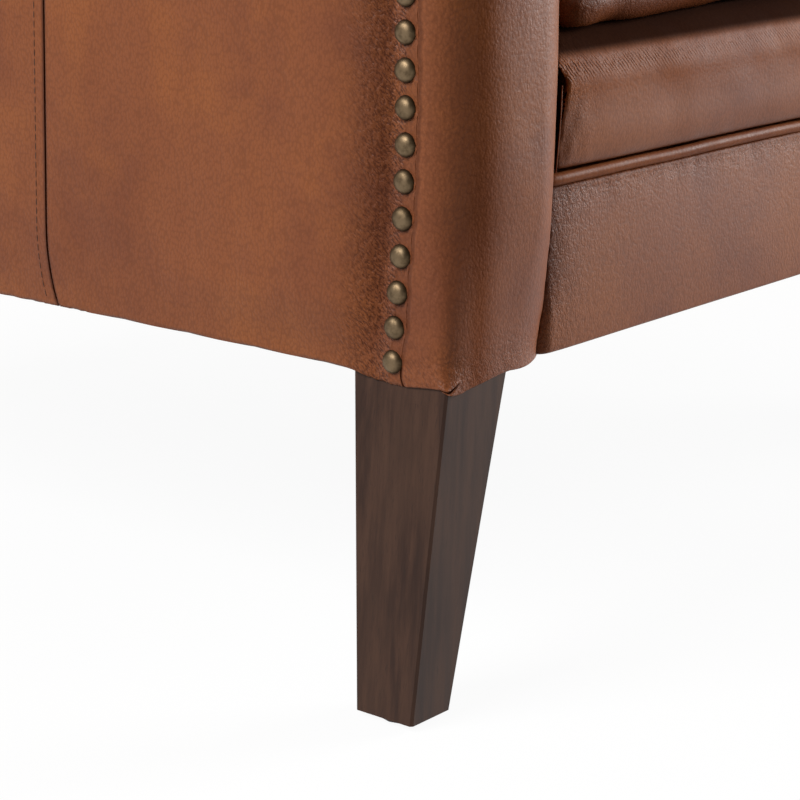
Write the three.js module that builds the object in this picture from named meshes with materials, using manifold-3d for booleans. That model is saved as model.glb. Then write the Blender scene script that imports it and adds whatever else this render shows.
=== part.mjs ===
// Wingback armchair: a hardwood frame on four tapered legs, sprung seat, leather pads and
// panels, a loose seat cushion, and a row of domed nails along each side.
// Millimetres, +Z up. The sitter faces -Y, and the sitter's left is +X.
// Each side piece is drawn on the sitter's right and mirrored for the left. There, a place
// across the chair is a depth: the distance inward from the outer face of the side.
import * as THREE from 'three';
import { mergeVertices } from 'three/addons/utils/BufferGeometryUtils.js';
import Module from 'manifold-3d';

const wasm = await Module();
wasm.setup();

// Driving sizes
const seatWidth = 550; // between the inside arms
const armWidth = 90; // outer face to inside face of an arm
const bodyBase = 161; // underside of the body above the floor
const armRailTop = 580.6; // top of the wooden arm rail
const armPadRise = 41; // leather above the arm rail, at the front
const armPadRiseRear = 36;
const backHeight = 1040; // top of the wings
const outsideBackDepth = 706; // front line to the outside back, at the base
const outsideBackRake = THREE.MathUtils.degToRad(6.5);
const insideBackDepth = 547; // front line to the inside back, at the deck
const insideBackRake = THREE.MathUtils.degToRad(10.4);

// Clearances
const touch = 0.3; // between pieces that rest on each other
const cushionSideGap = 3;
const holeClearance = 0.4; // on the radius, round a bolt
const overrun = 5; // how far a cutter runs past what it cuts

// Skins and boards
const panelThickness = 10; // outside panels: leather on padded board
const wingBoardThickness = 18;

// Column: the padded front of an arm
const columnBase = 29.7; // front line to the back of the pad
const columnRise = 35.7; // pad thickness, to its crown
const columnRiseAtBase = 28.2; // thinner where the leather turns under
const columnFlank = 7.7; // straight flank before the round begins
const columnSeam = 12.2; // from the pad's back to the seam beside the nails
const columnSeamAtBase = 4.6;
const columnTuck = 98; // height over which the pad thins at the bottom
const columnCorner = 6; // radius of the pad's back where it turns over the arm
const columnTurnDepth = 90; // front line to the seam across the arm top
const roundPower = 2.55; // 2 is an ellipse; more is squarer
const crownSteps = 12;
const wingSteps = 20;

// Wing
const wingBaseDepth = 428; // front line to the wing board's front edge, at the arm
const wingEdgeRise = 28; // thickness of the pad along the wing's edge
const wingEdgeFlank = 4;
const wingSeam = 10;
const wingTopWidth = 62; // outer face to inside face of a wing at its top
const wingBoardTop = backHeight - wingEdgeRise;
const wingPathShares = [
  [0, 0], [0.02, 0.137], [0.02, 0.276], [-0.008, 0.43], [-0.04, 0.59], [-0.03, 0.74],
  [0.055, 0.868], [0.225, 0.954], [0.46, 0.992], [0.73, 1], [1, 1],
];

// Frame timber
const postWidth = 63;
const postDepth = 45;
const postInset = 12; // outer face to the post
const armRailWidth = 41;
const armRailHeight = 20.3;
const sideRailInset = 10.6;
const sideRailThickness = 27.4;
const seatRailThickness = 25;
const railBaseRise = 2.3; // front and rear rails stay above the dust cover
const backPostWidth = 30;
const backPostDepth = 44.7;
const backPostDrop = 40; // top of the back posts below the wings
const backRailHeight = 60;
const lowerBackRailRise = 20; // lower back rail above the deck
const blockLeg = 72;
const blockHeight = 45;
const blockRise = 39; // corner block above the base

// Seat
const deckTop = 310;
const deckThickness = 20.7;
const insulatorThickness = 3;
const insulatorDrop = 0.8; // under the deck
const insulatorEndGap = 10; // to the back posts
const nosingDepth = 110;
const nosingLip = 246.6; // underside of the padded front edge
const borderTop = 239.6;
const borderFace = 4.8; // front line to the front border
const borderCrown = 1.3;
const borderEdge = 3.5; // softness of its long edges
const welt = 6; // diameter of the welt
const weltFace = 2.8;
const weltFlange = 1.6;
const frontEndGap = 0.6; // front border and nosing to the arms

// Seat cushion
const cushionHeight = 134;
const cushionCrown = 14;
const cushionDrawIn = 5;
const cushionEdge = 13;
const cushionPower = 16; // how square the cushion is in plan
const cushionBulge = 5;
const cushionFront = 1; // behind the front line
const cushionBackGap = 1;

// Inside back
const backPadCrown = 16;
const lowCrownShare = 0.1; // puts the fullest part below the middle
const backPadEdge = 22;
const backPadTopRound = 40;
const backPadTopDrop = 4; // crest of the back below the wings

// Webbing and springs
const webStrap = 50;
const webThickness = 2.5;
const webUprights = 5;
const webCrossings = 6;
const springRoom = 40; // seat rails to the deck
const springCount = 5;
const springWire = 3.8;
const springSwing = 22; // half the width of a zigzag
const springLoop = 26; // pitch of half a zigzag
const springCrown = 9;
const springTieShares = [0.36, 0.66];
const springBendShares = [0.15, 0.85]; // where a zigzag bends, within one half of it

// Legs
const glideHeight = 2.7;
const glideDiameter = 20;
const frontLegTop = [44.1, 55]; // across, and front to back
const frontLegFoot = [28.3, 33.9];
const frontLegInset = 1.5;
const frontLegSplay = 23.9; // how far the foot's middle leans outward
const frontLegRake = 3.4; // how far the foot's middle leans forward
const rearLegTop = [46, 50];
const rearLegFoot = [30, 30];
const rearLegInset = 11;
const rearLegRake = 68; // how far the foot's middle leans backward
const rearLegSplay = 10;
const legEdge = 1.2; // eased corners of the legs
const boltDiameter = 8;
const boltLength = 80;
const boltInLeg = 40;

// Nails
const nailDiameter = 11;
const nailRise = 3;
const nailPitch = 16.3;
const nailInset = 7.2; // from the seam to the middle of the nails
const nailLink = 1; // half width of the strip under the heads
const nailLinkRise = 0.5;
const firstNail = 8.7; // above the base

// Outside panels
const panelBaseRise = 0.5;
const pieceSeamDepth = 257; // front line to the sewn seam in the outside arm
const pieceSeamLean = -0.04; // depth gained per unit of height
const pieceSeamSweep = 8; // how far the seam swings forward at its foot
const pieceSeamSweepHeight = 32;

// Dust cover
const dustCoverThickness = 2;

// Worked-out sizes
const halfWidth = seatWidth / 2 + armWidth;
const crossDepth = (depth) => -(halfWidth - depth);
const legHeight = bodyBase - touch;
const outsideBack = (z) => outsideBackDepth + (z - bodyBase) * Math.tan(outsideBackRake);
const wingBase = armRailTop + touch;
const insideBack = (z) => insideBackDepth + (z - deckTop) * Math.tan(insideBackRake);
const wingShare = (z) => THREE.MathUtils.clamp((z - wingBase) / (wingBoardTop - wingBase), 0, 1);
const insideWing = (z) => THREE.MathUtils.lerp(armWidth, wingTopWidth, wingShare(z));
const nosingBase = deckTop - deckThickness;
const seatRailTop = deckTop - springRoom;
const lowerBackRailBase = deckTop + lowerBackRailRise;
const postTop = armRailTop - armRailHeight - touch;
const backPostTop = backHeight - backPostDrop;
const insulatorTop = nosingBase - insulatorDrop;
const backPostFront = panelThickness + touch + backPostDepth;
const panelTop = armRailTop + columnSeam;
const webFront = backPostFront + touch + 2 * webThickness;
const padRear = webFront + touch; // outside back to the back of the inner pads

// Colours
const finishes = {
  leather: { color: 0x8a4f35, roughness: 0.5, metalness: 0 },
  stain: { color: 0x47362f, roughness: 0.4, metalness: 0 },
  timber: { color: 0xc9a878, roughness: 0.7, metalness: 0 },
  brass: { color: 0x8c7450, roughness: 0.35, metalness: 1 },
  steel: { color: 0x777a7d, roughness: 0.4, metalness: 1 },
  webbing: { color: 0x2b2b2e, roughness: 0.9, metalness: 0 },
  felt: { color: 0x9a958a, roughness: 1, metalness: 0 },
  cambric: { color: 0x1d1d1f, roughness: 0.95, metalness: 0 },
  glide: { color: 0x2a2725, roughness: 0.5, metalness: 0 },
};

const chair = new THREE.Group();

// Shape tools

// Adds a closed shape to the chair as a named mesh with its own material.
function add(name, geometry, finish) {
  const mesh = new THREE.Mesh(facingOut(geometry), new THREE.MeshStandardMaterial(finishes[finish]));
  mesh.name = name;
  chair.add(mesh);
}

// Adds a piece of the sitter's right side, and its mirror image on the left.
function addPair(name, make, finish) {
  add(`${name}_right`, make(), finish);
  add(`${name}_left`, make().scale(-1, 1, 1), finish);
}

// An indexed copy that holds positions only, with shared vertices merged.
function bare(geometry) {
  const copy = geometry.clone();
  copy.deleteAttribute('normal');
  copy.deleteAttribute('uv');
  return mergeVertices(copy);
}

// Turns the faces round where a shape is inside out, as a mirrored one is.
function facingOut(geometry) {
  const shape = bare(geometry);
  const { array } = shape.attributes.position;
  const index = shape.index.array;
  const corner = (i) => new THREE.Vector3().fromArray(array, index[i] * 3);
  let volume = 0;
  for (let i = 0; i < index.length; i += 3) {
    volume += corner(i).dot(corner(i + 1).cross(corner(i + 2)));
  }
  if (volume < 0) {
    for (let i = 0; i < index.length; i += 3) {
      [index[i + 1], index[i + 2]] = [index[i + 2], index[i + 1]];
    }
  }
  shape.computeVertexNormals();
  return shape;
}

// Joins rings of points into a closed body, with a flat face at each end.
// The outline is one ring drawn flat, from which the end faces are cut.
function loft(rings, outline) {
  const count = outline.length;
  const index = [];
  for (let r = 0; r + 1 < rings.length; r += 1) {
    for (let i = 0; i < count; i += 1) {
      const a = r * count + i;
      const b = r * count + ((i + 1) % count);
      index.push(a, b, b + count, a, b + count, a + count);
    }
  }
  const flat = outline.map(([u, v]) => new THREE.Vector2(u, v));
  const last = (rings.length - 1) * count;
  const turned = THREE.ShapeUtils.area(flat) < 0;
  for (const [a, b, c] of THREE.ShapeUtils.triangulateShape(flat, [])) {
    const [p, q] = turned ? [c, b] : [b, c];
    index.push(a, q, p);
    index.push(last + a, last + p, last + q);
  }
  const geometry = new THREE.BufferGeometry();
  geometry.setAttribute('position', new THREE.Float32BufferAttribute(rings.flat(2), 3));
  geometry.setIndex(index);
  return geometry;
}

// A block between two corners.
function block([x0, y0, z0], [x1, y1, z1]) {
  return new THREE.BoxGeometry(x1 - x0, y1 - y0, z1 - z0)
    .translate((x0 + x1) / 2, (y0 + y1) / 2, (z0 + z1) / 2);
}

// A board with a side-view outline of [y, z] points, between two depths.
function sideBoard(outline, nearDepth, farDepth) {
  const shape = new THREE.Shape(outline.map(([y, z]) => new THREE.Vector2(y, z)));
  return new THREE.ExtrudeGeometry(shape, { depth: farDepth - nearDepth, bevelEnabled: false })
    .rotateX(Math.PI / 2)
    .rotateZ(Math.PI / 2)
    .translate(crossDepth(nearDepth), 0, 0);
}

// A beam across the chair with a side-view outline.
function crossBeam(outline, halfLength) {
  return loft([-halfLength, halfLength].map((x) => outline.map(([y, z]) => [x, y, z])), outline);
}

// Moves every vertex by a rule that takes and changes a vector.
function reshape(geometry, rule) {
  const shape = bare(geometry);
  const { position } = shape.attributes;
  const point = new THREE.Vector3();
  for (let i = 0; i < position.count; i += 1) {
    rule(point.fromBufferAttribute(position, i));
    position.setXYZ(i, point.x, point.y, point.z);
  }
  return shape;
}

// Leans an upright piece back: its y is then measured from the outside back.
function raked(geometry) {
  return reshape(geometry, (p) => {
    p.y += outsideBack(p.z);
  });
}

// The manifold-3d solid of a closed geometry, and the way back.
function solidOf(geometry) {
  const shape = facingOut(geometry);
  return new wasm.Manifold(new wasm.Mesh({
    numProp: 3,
    vertProperties: shape.attributes.position.array,
    triVerts: new Uint32Array(shape.index.array),
  }));
}

function geometryOf(solid) {
  const { vertProperties, triVerts } = solid.getMesh();
  const geometry = new THREE.BufferGeometry();
  geometry.setAttribute('position', new THREE.BufferAttribute(new Float32Array(vertProperties), 3));
  geometry.setIndex(new THREE.BufferAttribute(new Uint32Array(triVerts), 1));
  return geometry;
}

function cut(geometry, ...cutters) {
  return geometryOf(cutters.reduce((left, cutter) => left.subtract(solidOf(cutter)), solidOf(geometry)));
}

function join(pieces) {
  return geometryOf(pieces.map(solidOf).reduce((whole, piece) => whole.add(piece)));
}

// An upright round rod, used for bolts and for their holes.
function rod([x, y], low, high, radius) {
  const sides = 12;
  return new THREE.CylinderGeometry(radius, radius, high - low, sides)
    .rotateX(Math.PI / 2)
    .translate(x, y, (low + high) / 2);
}

// Smooth step from 0 to 1 between two values.
const ease = (value, from, to) => THREE.MathUtils.smoothstep(value, from, to);

// Points along the rounded crown of a pad section, from its seam to its inner flank.
// A point is [depth across, height over the pad's back].
function crownPoints(width, flank, rise, seam) {
  const start = Math.PI - Math.asin(((seam - flank) / (rise - flank)) ** (roundPower / 2));
  const reach = (value) => Math.sign(value) * Math.abs(value) ** (2 / roundPower);
  const points = [];
  for (let i = 0; i <= crownSteps; i += 1) {
    const angle = start * (1 - i / crownSteps);
    points.push([
      (width / 2) * (1 + reach(Math.cos(angle))),
      flank + (rise - flank) * reach(Math.sin(angle)),
    ]);
  }
  return points;
}

// A padded band section: stepped back on its outer flank for the outside panel.
function bandSection(width, flank, rise, seam) {
  const step = panelThickness + 2 * touch;
  return [[step, 0], [step, seam], ...crownPoints(width, flank, rise, seam), [width, 0]];
}

// Sweeps band sections along a side-view path. Each station is { y, z, outward: [y, z], section }.
function sweep(stations) {
  const rings = stations.map(({ y, z, outward, section }) => section.map(
    ([depth, n]) => [crossDepth(depth), y + outward[0] * n, z + outward[1] * n],
  ));
  return loft(rings, stations[0].section);
}

// Arms

const columnTucked = (z) => 1 - ease(z, bodyBase, bodyBase + columnTuck);
const seamAt = (z) => THREE.MathUtils.lerp(columnSeam, columnSeamAtBase, columnTucked(z));
const cornerCentre = [columnBase + columnCorner, armRailTop + touch - columnCorner];
const cornerSteps = 4;

// The turn from the column to the arm top, as points at a radius from the corner's centre.
function cornerArc(radius) {
  const points = [];
  for (let i = 0; i <= cornerSteps; i += 1) {
    const angle = (Math.PI / 2) * (i / cornerSteps);
    points.push([cornerCentre[0] - Math.cos(angle) * radius, cornerCentre[1] + Math.sin(angle) * radius]);
  }
  return points;
}

// The column's front, up the arm and over its top corner.
function armFrontPad() {
  const stations = [];
  const heightShares = [0, 0.05, 0.12, 0.2, 0.28, 0.6, 1];
  for (const share of heightShares) {
    const z = THREE.MathUtils.lerp(bodyBase, cornerCentre[1], share);
    const rise = THREE.MathUtils.lerp(columnRise, columnRiseAtBase, columnTucked(z));
    const section = bandSection(armWidth, Math.min(columnFlank, seamAt(z)), rise, seamAt(z));
    stations.push({ y: columnBase, z, outward: [-1, 0], section });
  }
  cornerArc(columnCorner).slice(1).forEach(([y, z], i) => {
    const share = (i + 1) / cornerSteps;
    stations.push({
      y,
      z,
      outward: [-Math.cos((Math.PI / 2) * share), Math.sin((Math.PI / 2) * share)],
      section: bandSection(
        armWidth,
        columnFlank,
        THREE.MathUtils.lerp(columnRise, armPadRise, share),
        columnSeam,
      ),
    });
  });
  stations.push({ ...stations.at(-1), y: columnTurnDepth });
  return sweep(stations);
}

const wingPath = new THREE.SplineCurve(wingPathShares.map(([across, up]) => new THREE.Vector2(
  THREE.MathUtils.lerp(wingBaseDepth, outsideBack(wingBoardTop) - panelThickness - 2 * touch, across),
  THREE.MathUtils.lerp(wingBase, wingBoardTop, up),
)));
const wingStepShares = Array.from({ length: wingSteps + 1 }, (unused, i) => i / wingSteps);

// A point of the wing's path, moved outward by a distance.
function wingPoint(share, outwardBy) {
  const at = wingPath.getPointAt(share);
  const along = wingPath.getTangentAt(share);
  return [at.x - along.y * outwardBy, at.y + along.x * outwardBy];
}

// The wing's edge from a height up: the path's sampled points, with the first one on that height.
function wingEdgeFrom(base, outwardBy) {
  const points = wingStepShares.map((share) => wingPoint(share, outwardBy));
  const next = points.findIndex(([, z]) => z > base);
  if (next < 1) return points;
  const [[y0, z0], [y1, z1]] = points.slice(next - 1, next + 1);
  const foot = [THREE.MathUtils.lerp(y0, y1, (base - z0) / (z1 - z0)), base];
  return [foot, ...points.slice(next)];
}

// The pad along the arm top, from the column's seam back to the wing.
function armTopPad() {
  const stations = [[columnTurnDepth + touch, armPadRise], [wingBaseDepth, armPadRiseRear]];
  const pad = sweep(stations.map(([y, rise]) => ({
    y,
    z: armRailTop + touch,
    outward: [0, 1],
    section: bandSection(armWidth, columnFlank, rise, columnSeam),
  })));
  return cut(pad, sideBoard(wingOutline(wingEdgeRise + touch, armRailTop, 0), -overrun, armWidth + overrun));
}

// The inside arm, notched round the front post and the arm rail.
function insideArmPad() {
  const base = nosingBase + touch;
  const rear = [armRailTop, base].map((z) => [outsideBack(z) - padRear, z]);
  const front = cornerArc(columnCorner - touch);
  const inner = sideRailInset + sideRailThickness + touch;
  const outline = [[front[0][0], base], ...front, ...rear];
  const notch = (width, from, to) => block(
    [crossDepth(-overrun), -overrun, from],
    [crossDepth(width + touch), to, armRailTop + overrun],
  );
  return cut(
    sideBoard(outline, inner, armWidth),
    notch(postInset + postWidth, 0, columnBase + postDepth + 2 * touch),
    notch(postInset + armRailWidth, postTop, outsideBack(armRailTop)),
  );
}

// Wings

// The rounded pad along the wing's edge, cut level where it meets the arm.
function wingEdgePad() {
  const stations = wingStepShares.map((share) => {
    const [y, z] = wingPoint(share, touch);
    const along = wingPath.getTangentAt(share);
    const section = bandSection(insideWing(z), wingEdgeFlank, wingEdgeRise - touch, wingSeam);
    return { y, z, outward: [-along.y, along.x], section };
  });
  return cut(sweep(stations), block(
    [crossDepth(-overrun), 0, 0],
    [crossDepth(armWidth + overrun), outsideBackDepth, panelTop + touch],
  ));
}

// The wing's outline, moved outward by a distance, from its foot round to the outside back.
function wingOutline(outwardBy, base, rearGap) {
  const top = wingBoardTop + outwardBy;
  const rear = [top, base].map((z) => [outsideBack(z) - rearGap, z]);
  return [...wingEdgeFrom(base, outwardBy), ...rear];
}

function wingBoard() {
  const near = panelThickness + 2 * touch;
  return sideBoard(wingOutline(0, wingBase, panelThickness + touch), near, near + wingBoardThickness);
}

// The inside wing, which thins towards its top and stops at the webbing of the back.
function wingPad() {
  const near = panelThickness + 3 * touch + wingBoardThickness;
  const whole = sideBoard(wingOutline(0, wingBase, 0), near, armWidth);
  const thinned = reshape(whole, (p) => {
    const share = (p.x - crossDepth(near)) / (armWidth - near);
    p.x = crossDepth(THREE.MathUtils.lerp(near, insideWing(p.z), share));
  });
  return cut(thinned, raked(block(
    [crossDepth(0), -padRear, armRailTop - overrun],
    [crossDepth(armWidth + overrun), overrun, backHeight],
  )));
}

// Outside panels

const panelBase = bodyBase + panelBaseRise;

// The front edge of the outside arm: the seam beside the column, from the base to the arm top.
function columnSeamLine(inset) {
  const points = [];
  const straightSteps = 8;
  for (let i = 0; i <= straightSteps; i += 1) {
    const z = THREE.MathUtils.lerp(panelBase, cornerCentre[1], (i / straightSteps) ** 2);
    points.push([columnBase - seamAt(z) + inset, z]);
  }
  return [...points, ...cornerArc(columnCorner + columnSeam - inset).slice(1)];
}

// The sewn seam that parts the outside arm, from its foot up.
function pieceSeamLine(shift) {
  const heightShares = [0, 0.02, 0.045, 0.07, 0.1, 0.3, 1];
  return heightShares.map((share) => {
    const z = THREE.MathUtils.lerp(panelBase, panelTop, share);
    const swing = (1 - ease(z, panelBase, panelBase + pieceSeamSweepHeight)) * pieceSeamSweep;
    return [pieceSeamDepth + (z - nosingLip) * pieceSeamLean - swing + shift, z];
  });
}

function outsideArmFrontPanel() {
  const outline = [...pieceSeamLine(-touch / 2), ...columnSeamLine(touch).reverse()];
  return sideBoard(outline, 0, panelThickness);
}

function outsideArmRearPanel() {
  const rear = [panelTop, panelBase].map((z) => [outsideBack(z) - panelThickness - touch, z]);
  return sideBoard([...pieceSeamLine(touch / 2), ...rear], 0, panelThickness);
}

function outsideWingPanel() {
  const outline = wingOutline(wingSeam - touch, panelTop + touch, panelThickness + touch);
  return sideBoard(outline, 0, panelThickness);
}

// Nails

// The middle line of the nails: up the column, along the arm, then round the wing.
function nailLine() {
  const curve = new THREE.CurvePath();
  const column = columnSeamLine(nailInset);
  const wing = wingEdgeFrom(column.at(-1)[1], wingSeam - nailInset);
  const line = [...column, ...wing].map(([y, z]) => new THREE.Vector2(y, z));
  line.slice(1).forEach((point, i) => curve.add(new THREE.LineCurve(line[i], point)));
  return curve;
}

// Domed heads joined by a thin strip, as trim nailing is made. Each head is six-sided.
function nailTrim() {
  const curve = nailLine();
  const length = curve.getLength();
  const radius = nailDiameter / 2;
  const count = Math.floor((length - firstNail - radius) / nailPitch) + 1;
  const flat = Math.cos(Math.PI / 6) * radius;
  const rings = [];
  for (let i = 0; i < count; i += 1) {
    const middle = firstNail + i * nailPitch;
    const along = curve.getTangentAt(middle / length);
    const at = curve.getPointAt(middle / length);
    const shape = [
      [-radius, nailLink, nailLinkRise],
      [-radius / 2, flat, nailRise],
      [radius / 2, flat, nailRise],
      [radius, nailLink, nailLinkRise],
    ];
    for (const [offset, half, rise] of shape) {
      const y = at.x + along.x * offset;
      const z = at.y + along.y * offset;
      rings.push([
        [crossDepth(-touch), y + along.y * half, z - along.x * half],
        [crossDepth(-touch - rise), y, z],
        [crossDepth(-touch), y - along.y * half, z + along.x * half],
      ]);
    }
  }
  return loft(rings, [[-1, 0], [0, 1], [1, 0]]);
}

// Seat front

const openHalf = seatWidth / 2; // half the space between the arms
const frontHalf = openHalf - frontEndGap;

// The padded front edge of the deck, over the top of the front rail.
function deckNosing() {
  const faceShares = [0.35, 0.6, 0.8];
  const [low, middle, high] = faceShares.map((share) => THREE.MathUtils.lerp(nosingLip, deckTop, share));
  const outline = [
    [columnBase, nosingLip],
    [borderFace + borderEdge, nosingLip],
    [borderFace - borderCrown, nosingLip + 2 * borderEdge],
    [-borderCrown, low],
    [-borderCrown, middle],
    [borderCrown, high],
    [borderFace + borderEdge, deckTop - borderEdge],
    [borderFace + 4 * borderEdge, deckTop],
    [nosingDepth, deckTop],
    [nosingDepth, nosingBase],
    [columnBase, nosingBase],
  ];
  const endShares = [1, 0.985, 0.93];
  const pulls = [borderEdge, borderEdge / 4, 0];
  const ring = (share, pull) => outline.map(
    ([y, z]) => [share * frontHalf, y < columnBase ? Math.min(y + pull, columnBase) : y, z],
  );
  const ends = endShares.map((share, i) => ring(share, pulls[i]));
  const otherEnds = endShares.map((share, i) => ring(-share, pulls[i]));
  return loft([...otherEnds, ...ends.reverse()], outline);
}

function frontBorder() {
  const middle = (bodyBase + borderTop) / 2;
  return crossBeam([
    [columnBase, bodyBase], [borderFace + borderEdge, bodyBase], [borderFace, bodyBase + borderEdge],
    [borderFace - borderCrown, middle], [borderFace, borderTop - borderEdge],
    [borderFace + borderEdge, borderTop], [columnBase, borderTop],
  ], frontHalf);
}

// The welt: a round cord in leather, with the flange that is tacked to the rail.
function frontWelt() {
  const radius = welt / 2;
  const middle = [weltFace + radius, (borderTop + nosingLip) / 2];
  const sides = 10;
  const half = Math.asin(weltFlange / welt);
  const outline = [[columnBase, middle[1] - weltFlange / 2]];
  for (let i = 0; i <= sides; i += 1) {
    const angle = -half - (i / sides) * (2 * Math.PI - 2 * half);
    outline.push([middle[0] + radius * Math.cos(angle), middle[1] + radius * Math.sin(angle)]);
  }
  outline.push([columnBase, middle[1] + weltFlange / 2]);
  return crossBeam(outline, frontHalf);
}

// Loose seat cushion: crowned on top, drawn in between its corners, flat underneath.
function seatCushion() {
  const base = deckTop + touch;
  const back = insideBack(base) - cushionBackGap;
  const half = new THREE.Vector3(openHalf - cushionSideGap, (back - cushionFront) / 2, cushionHeight / 2);
  const towardsEdge = (share) => Math.sin((Math.PI / 2) * share);
  return reshape(new THREE.BoxGeometry(2, 2, 2, 10, 10, 6), (p) => {
    const [a, b, c] = p.toArray().map(towardsEdge);
    const largest = Math.max(Math.abs(a), Math.abs(b));
    const norm = (Math.abs(a) ** cushionPower + Math.abs(b) ** cushionPower) ** (1 / cushionPower);
    const plan = norm > 0 ? largest / norm : 1;
    const shoulder = cushionEdge * Math.abs(c) ** 4;
    const bulge = cushionBulge * c * c;
    const inX = shoulder + bulge + cushionDrawIn * (1 - b * b);
    const inY = shoulder + bulge + cushionDrawIn * (1 - a * a);
    const crown = c > 0 ? cushionCrown * (1 - a * a) * (1 - b * b) * c : 0;
    p.set(
      a * plan * (half.x - inX),
      cushionFront + half.y + b * plan * (half.y - inY),
      base + half.z + c * half.z + crown,
    );
  });
}

// Back

// The inside back: crowned, wider between the wings than between the arms, and carried
// over the top rail to the outside back.
function insideBackPad() {
  const base = deckTop + touch;
  const top = backHeight - backPadTopDrop;
  const underTop = backPostTop + touch;
  const faceShares = [0, 0.04, 0.15, 0.3, 0.45, 0.6, 0.75, 0.9, 1];
  const faceTop = top - backPadTopRound;
  const rear = (z) => outsideBack(z) - padRear;
  const outer = panelThickness + 2 * touch;
  const turns = 4;
  const section = (fullness) => {
    const points = faceShares.map((share) => {
      const z = THREE.MathUtils.lerp(base, faceTop, share);
      const crown = backPadCrown * Math.sin(Math.PI * Math.min(share + lowCrownShare, 1)) * fullness;
      return [insideBack(z) - crown + backPadEdge * (1 - fullness), z];
    });
    const [startY] = points.at(-1);
    for (let i = 1; i <= turns; i += 1) {
      const angle = (Math.PI / 2) * (i / turns);
      points.push([
        startY + backPadTopRound * (1 - Math.cos(angle)),
        faceTop + backPadTopRound * Math.sin(angle),
      ]);
    }
    return [
      ...points,
      [outsideBack(top) - outer, top],
      [outsideBack(underTop) - outer, underTop],
      [rear(underTop), underTop],
      [rear(armRailTop), armRailTop],
      [rear(base), base],
    ];
  };
  const stationShares = [-1, -0.97, -0.9, -0.6, -0.25, 0.25, 0.6, 0.9, 0.97, 1];
  const rings = stationShares.map((share) => {
    const fullness = Math.sqrt(1 - share ** 8);
    return section(fullness).map(([y, z]) => [share * (halfWidth - insideWing(z)), y, z]);
  });
  return cut(loft(rings, section(0)), sideSpace(), sideSpace().scale(-1, 1, 1));
}

// The space that an inside arm and wing take up, with the gap round them.
function sideSpace() {
  const rear = outsideBack(backHeight);
  const outline = [[-overrun, 0], [armWidth, 0], [armWidth, rear], [-overrun, rear]];
  const levels = [bodyBase, wingBase, wingBoardTop, backHeight + overrun];
  const rings = levels.map((z) => outline.map(([depth, y]) => (
    [crossDepth(depth > 0 ? insideWing(z) + touch : depth), y, z]
  )));
  return loft(rings, outline);
}

function outsideBackPanel() {
  return raked(block([-halfWidth, -panelThickness, panelBase], [halfWidth, 0, backHeight - touch]));
}

// Frame

function frontPost() {
  const post = block(
    [crossDepth(postInset), columnBase + touch, bodyBase],
    [crossDepth(postInset + postWidth), columnBase + touch + postDepth, postTop],
  );
  const place = [crossDepth(frontBoltPlace[0]), frontBoltPlace[1]];
  return cut(post, boltHole(place));
}

function boltHole(place) {
  const low = legHeight - boltInLeg - touch;
  return rod(place, low, low + boltLength + 2 * touch, boltDiameter / 2 + holeClearance);
}

function legBolt([depth, y]) {
  const low = legHeight - boltInLeg;
  return rod([crossDepth(depth), y], low, low + boltLength, boltDiameter / 2);
}

function sideRail() {
  const rear = outsideBack(bodyBase) - panelThickness - touch;
  const rail = block(
    [crossDepth(sideRailInset), columnBase + postDepth + 2 * touch, bodyBase],
    [crossDepth(sideRailInset + sideRailThickness), rear, seatRailTop],
  );
  return cut(rail, boltHole([crossDepth(rearBoltPlace[0]), rearBoltPlace[1]]));
}

function armRail() {
  const rear = outsideBack(postTop) - backPostFront - touch;
  return block(
    [crossDepth(postInset), columnBase + columnCorner + touch, postTop + touch],
    [crossDepth(postInset + armRailWidth), rear, armRailTop],
  );
}

const backPostInset = sideRailInset + sideRailThickness + touch;

function backPost() {
  return raked(block(
    [crossDepth(backPostInset), -backPostFront, bodyBase],
    [crossDepth(backPostInset + backPostWidth), -panelThickness - touch, backPostTop],
  ));
}

const betweenBackPosts = halfWidth - backPostInset - backPostWidth - touch;

function backRail(base) {
  return raked(block(
    [-betweenBackPosts, -backPostFront, base],
    [betweenBackPosts, -panelThickness - touch, base + backRailHeight],
  ));
}

const seatRailBase = bodyBase + railBaseRise;
const rearRailFront = outsideBack(seatRailBase) - panelThickness - touch - seatRailThickness;

function frontRail() {
  const half = halfWidth - postInset - postWidth - touch;
  const front = columnBase + touch;
  return block([-half, front, seatRailBase], [half, front + seatRailThickness, seatRailTop]);
}

function rearRail() {
  return block(
    [-betweenBackPosts, rearRailFront, seatRailBase],
    [betweenBackPosts, rearRailFront + seatRailThickness, seatRailTop],
  );
}

// A three-cornered glue block beside the side rail, from a post's face towards the rear or the front.
function cornerBlock(y, towards) {
  const depth = backPostInset;
  const corners = [[depth, y], [depth + blockLeg, y], [depth, y + towards * blockLeg]];
  const base = bodyBase + blockRise;
  return loft([base, base + blockHeight].map((z) => corners.map(([d, v]) => [crossDepth(d), v, z])), corners);
}

// Springs and webbing

// A bent wire with a square section, through points in the chair's frame.
function wire(points, thickness) {
  const up = new THREE.Vector3(0, 0, 1);
  const half = thickness / 2;
  const rings = points.map((point, i) => {
    const before = points[Math.max(i - 1, 0)];
    const after = points[Math.min(i + 1, points.length - 1)];
    const side = after.clone().sub(before).normalize().cross(up).multiplyScalar(half);
    const lift = up.clone().multiplyScalar(half);
    return [[1, 1], [-1, 1], [-1, -1], [1, -1]].map(([s, u]) => point.clone()
      .addScaledVector(side, s)
      .addScaledVector(lift, u)
      .toArray());
  });
  return loft(rings, [[1, 1], [-1, 1], [-1, -1], [1, -1]]);
}

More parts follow.
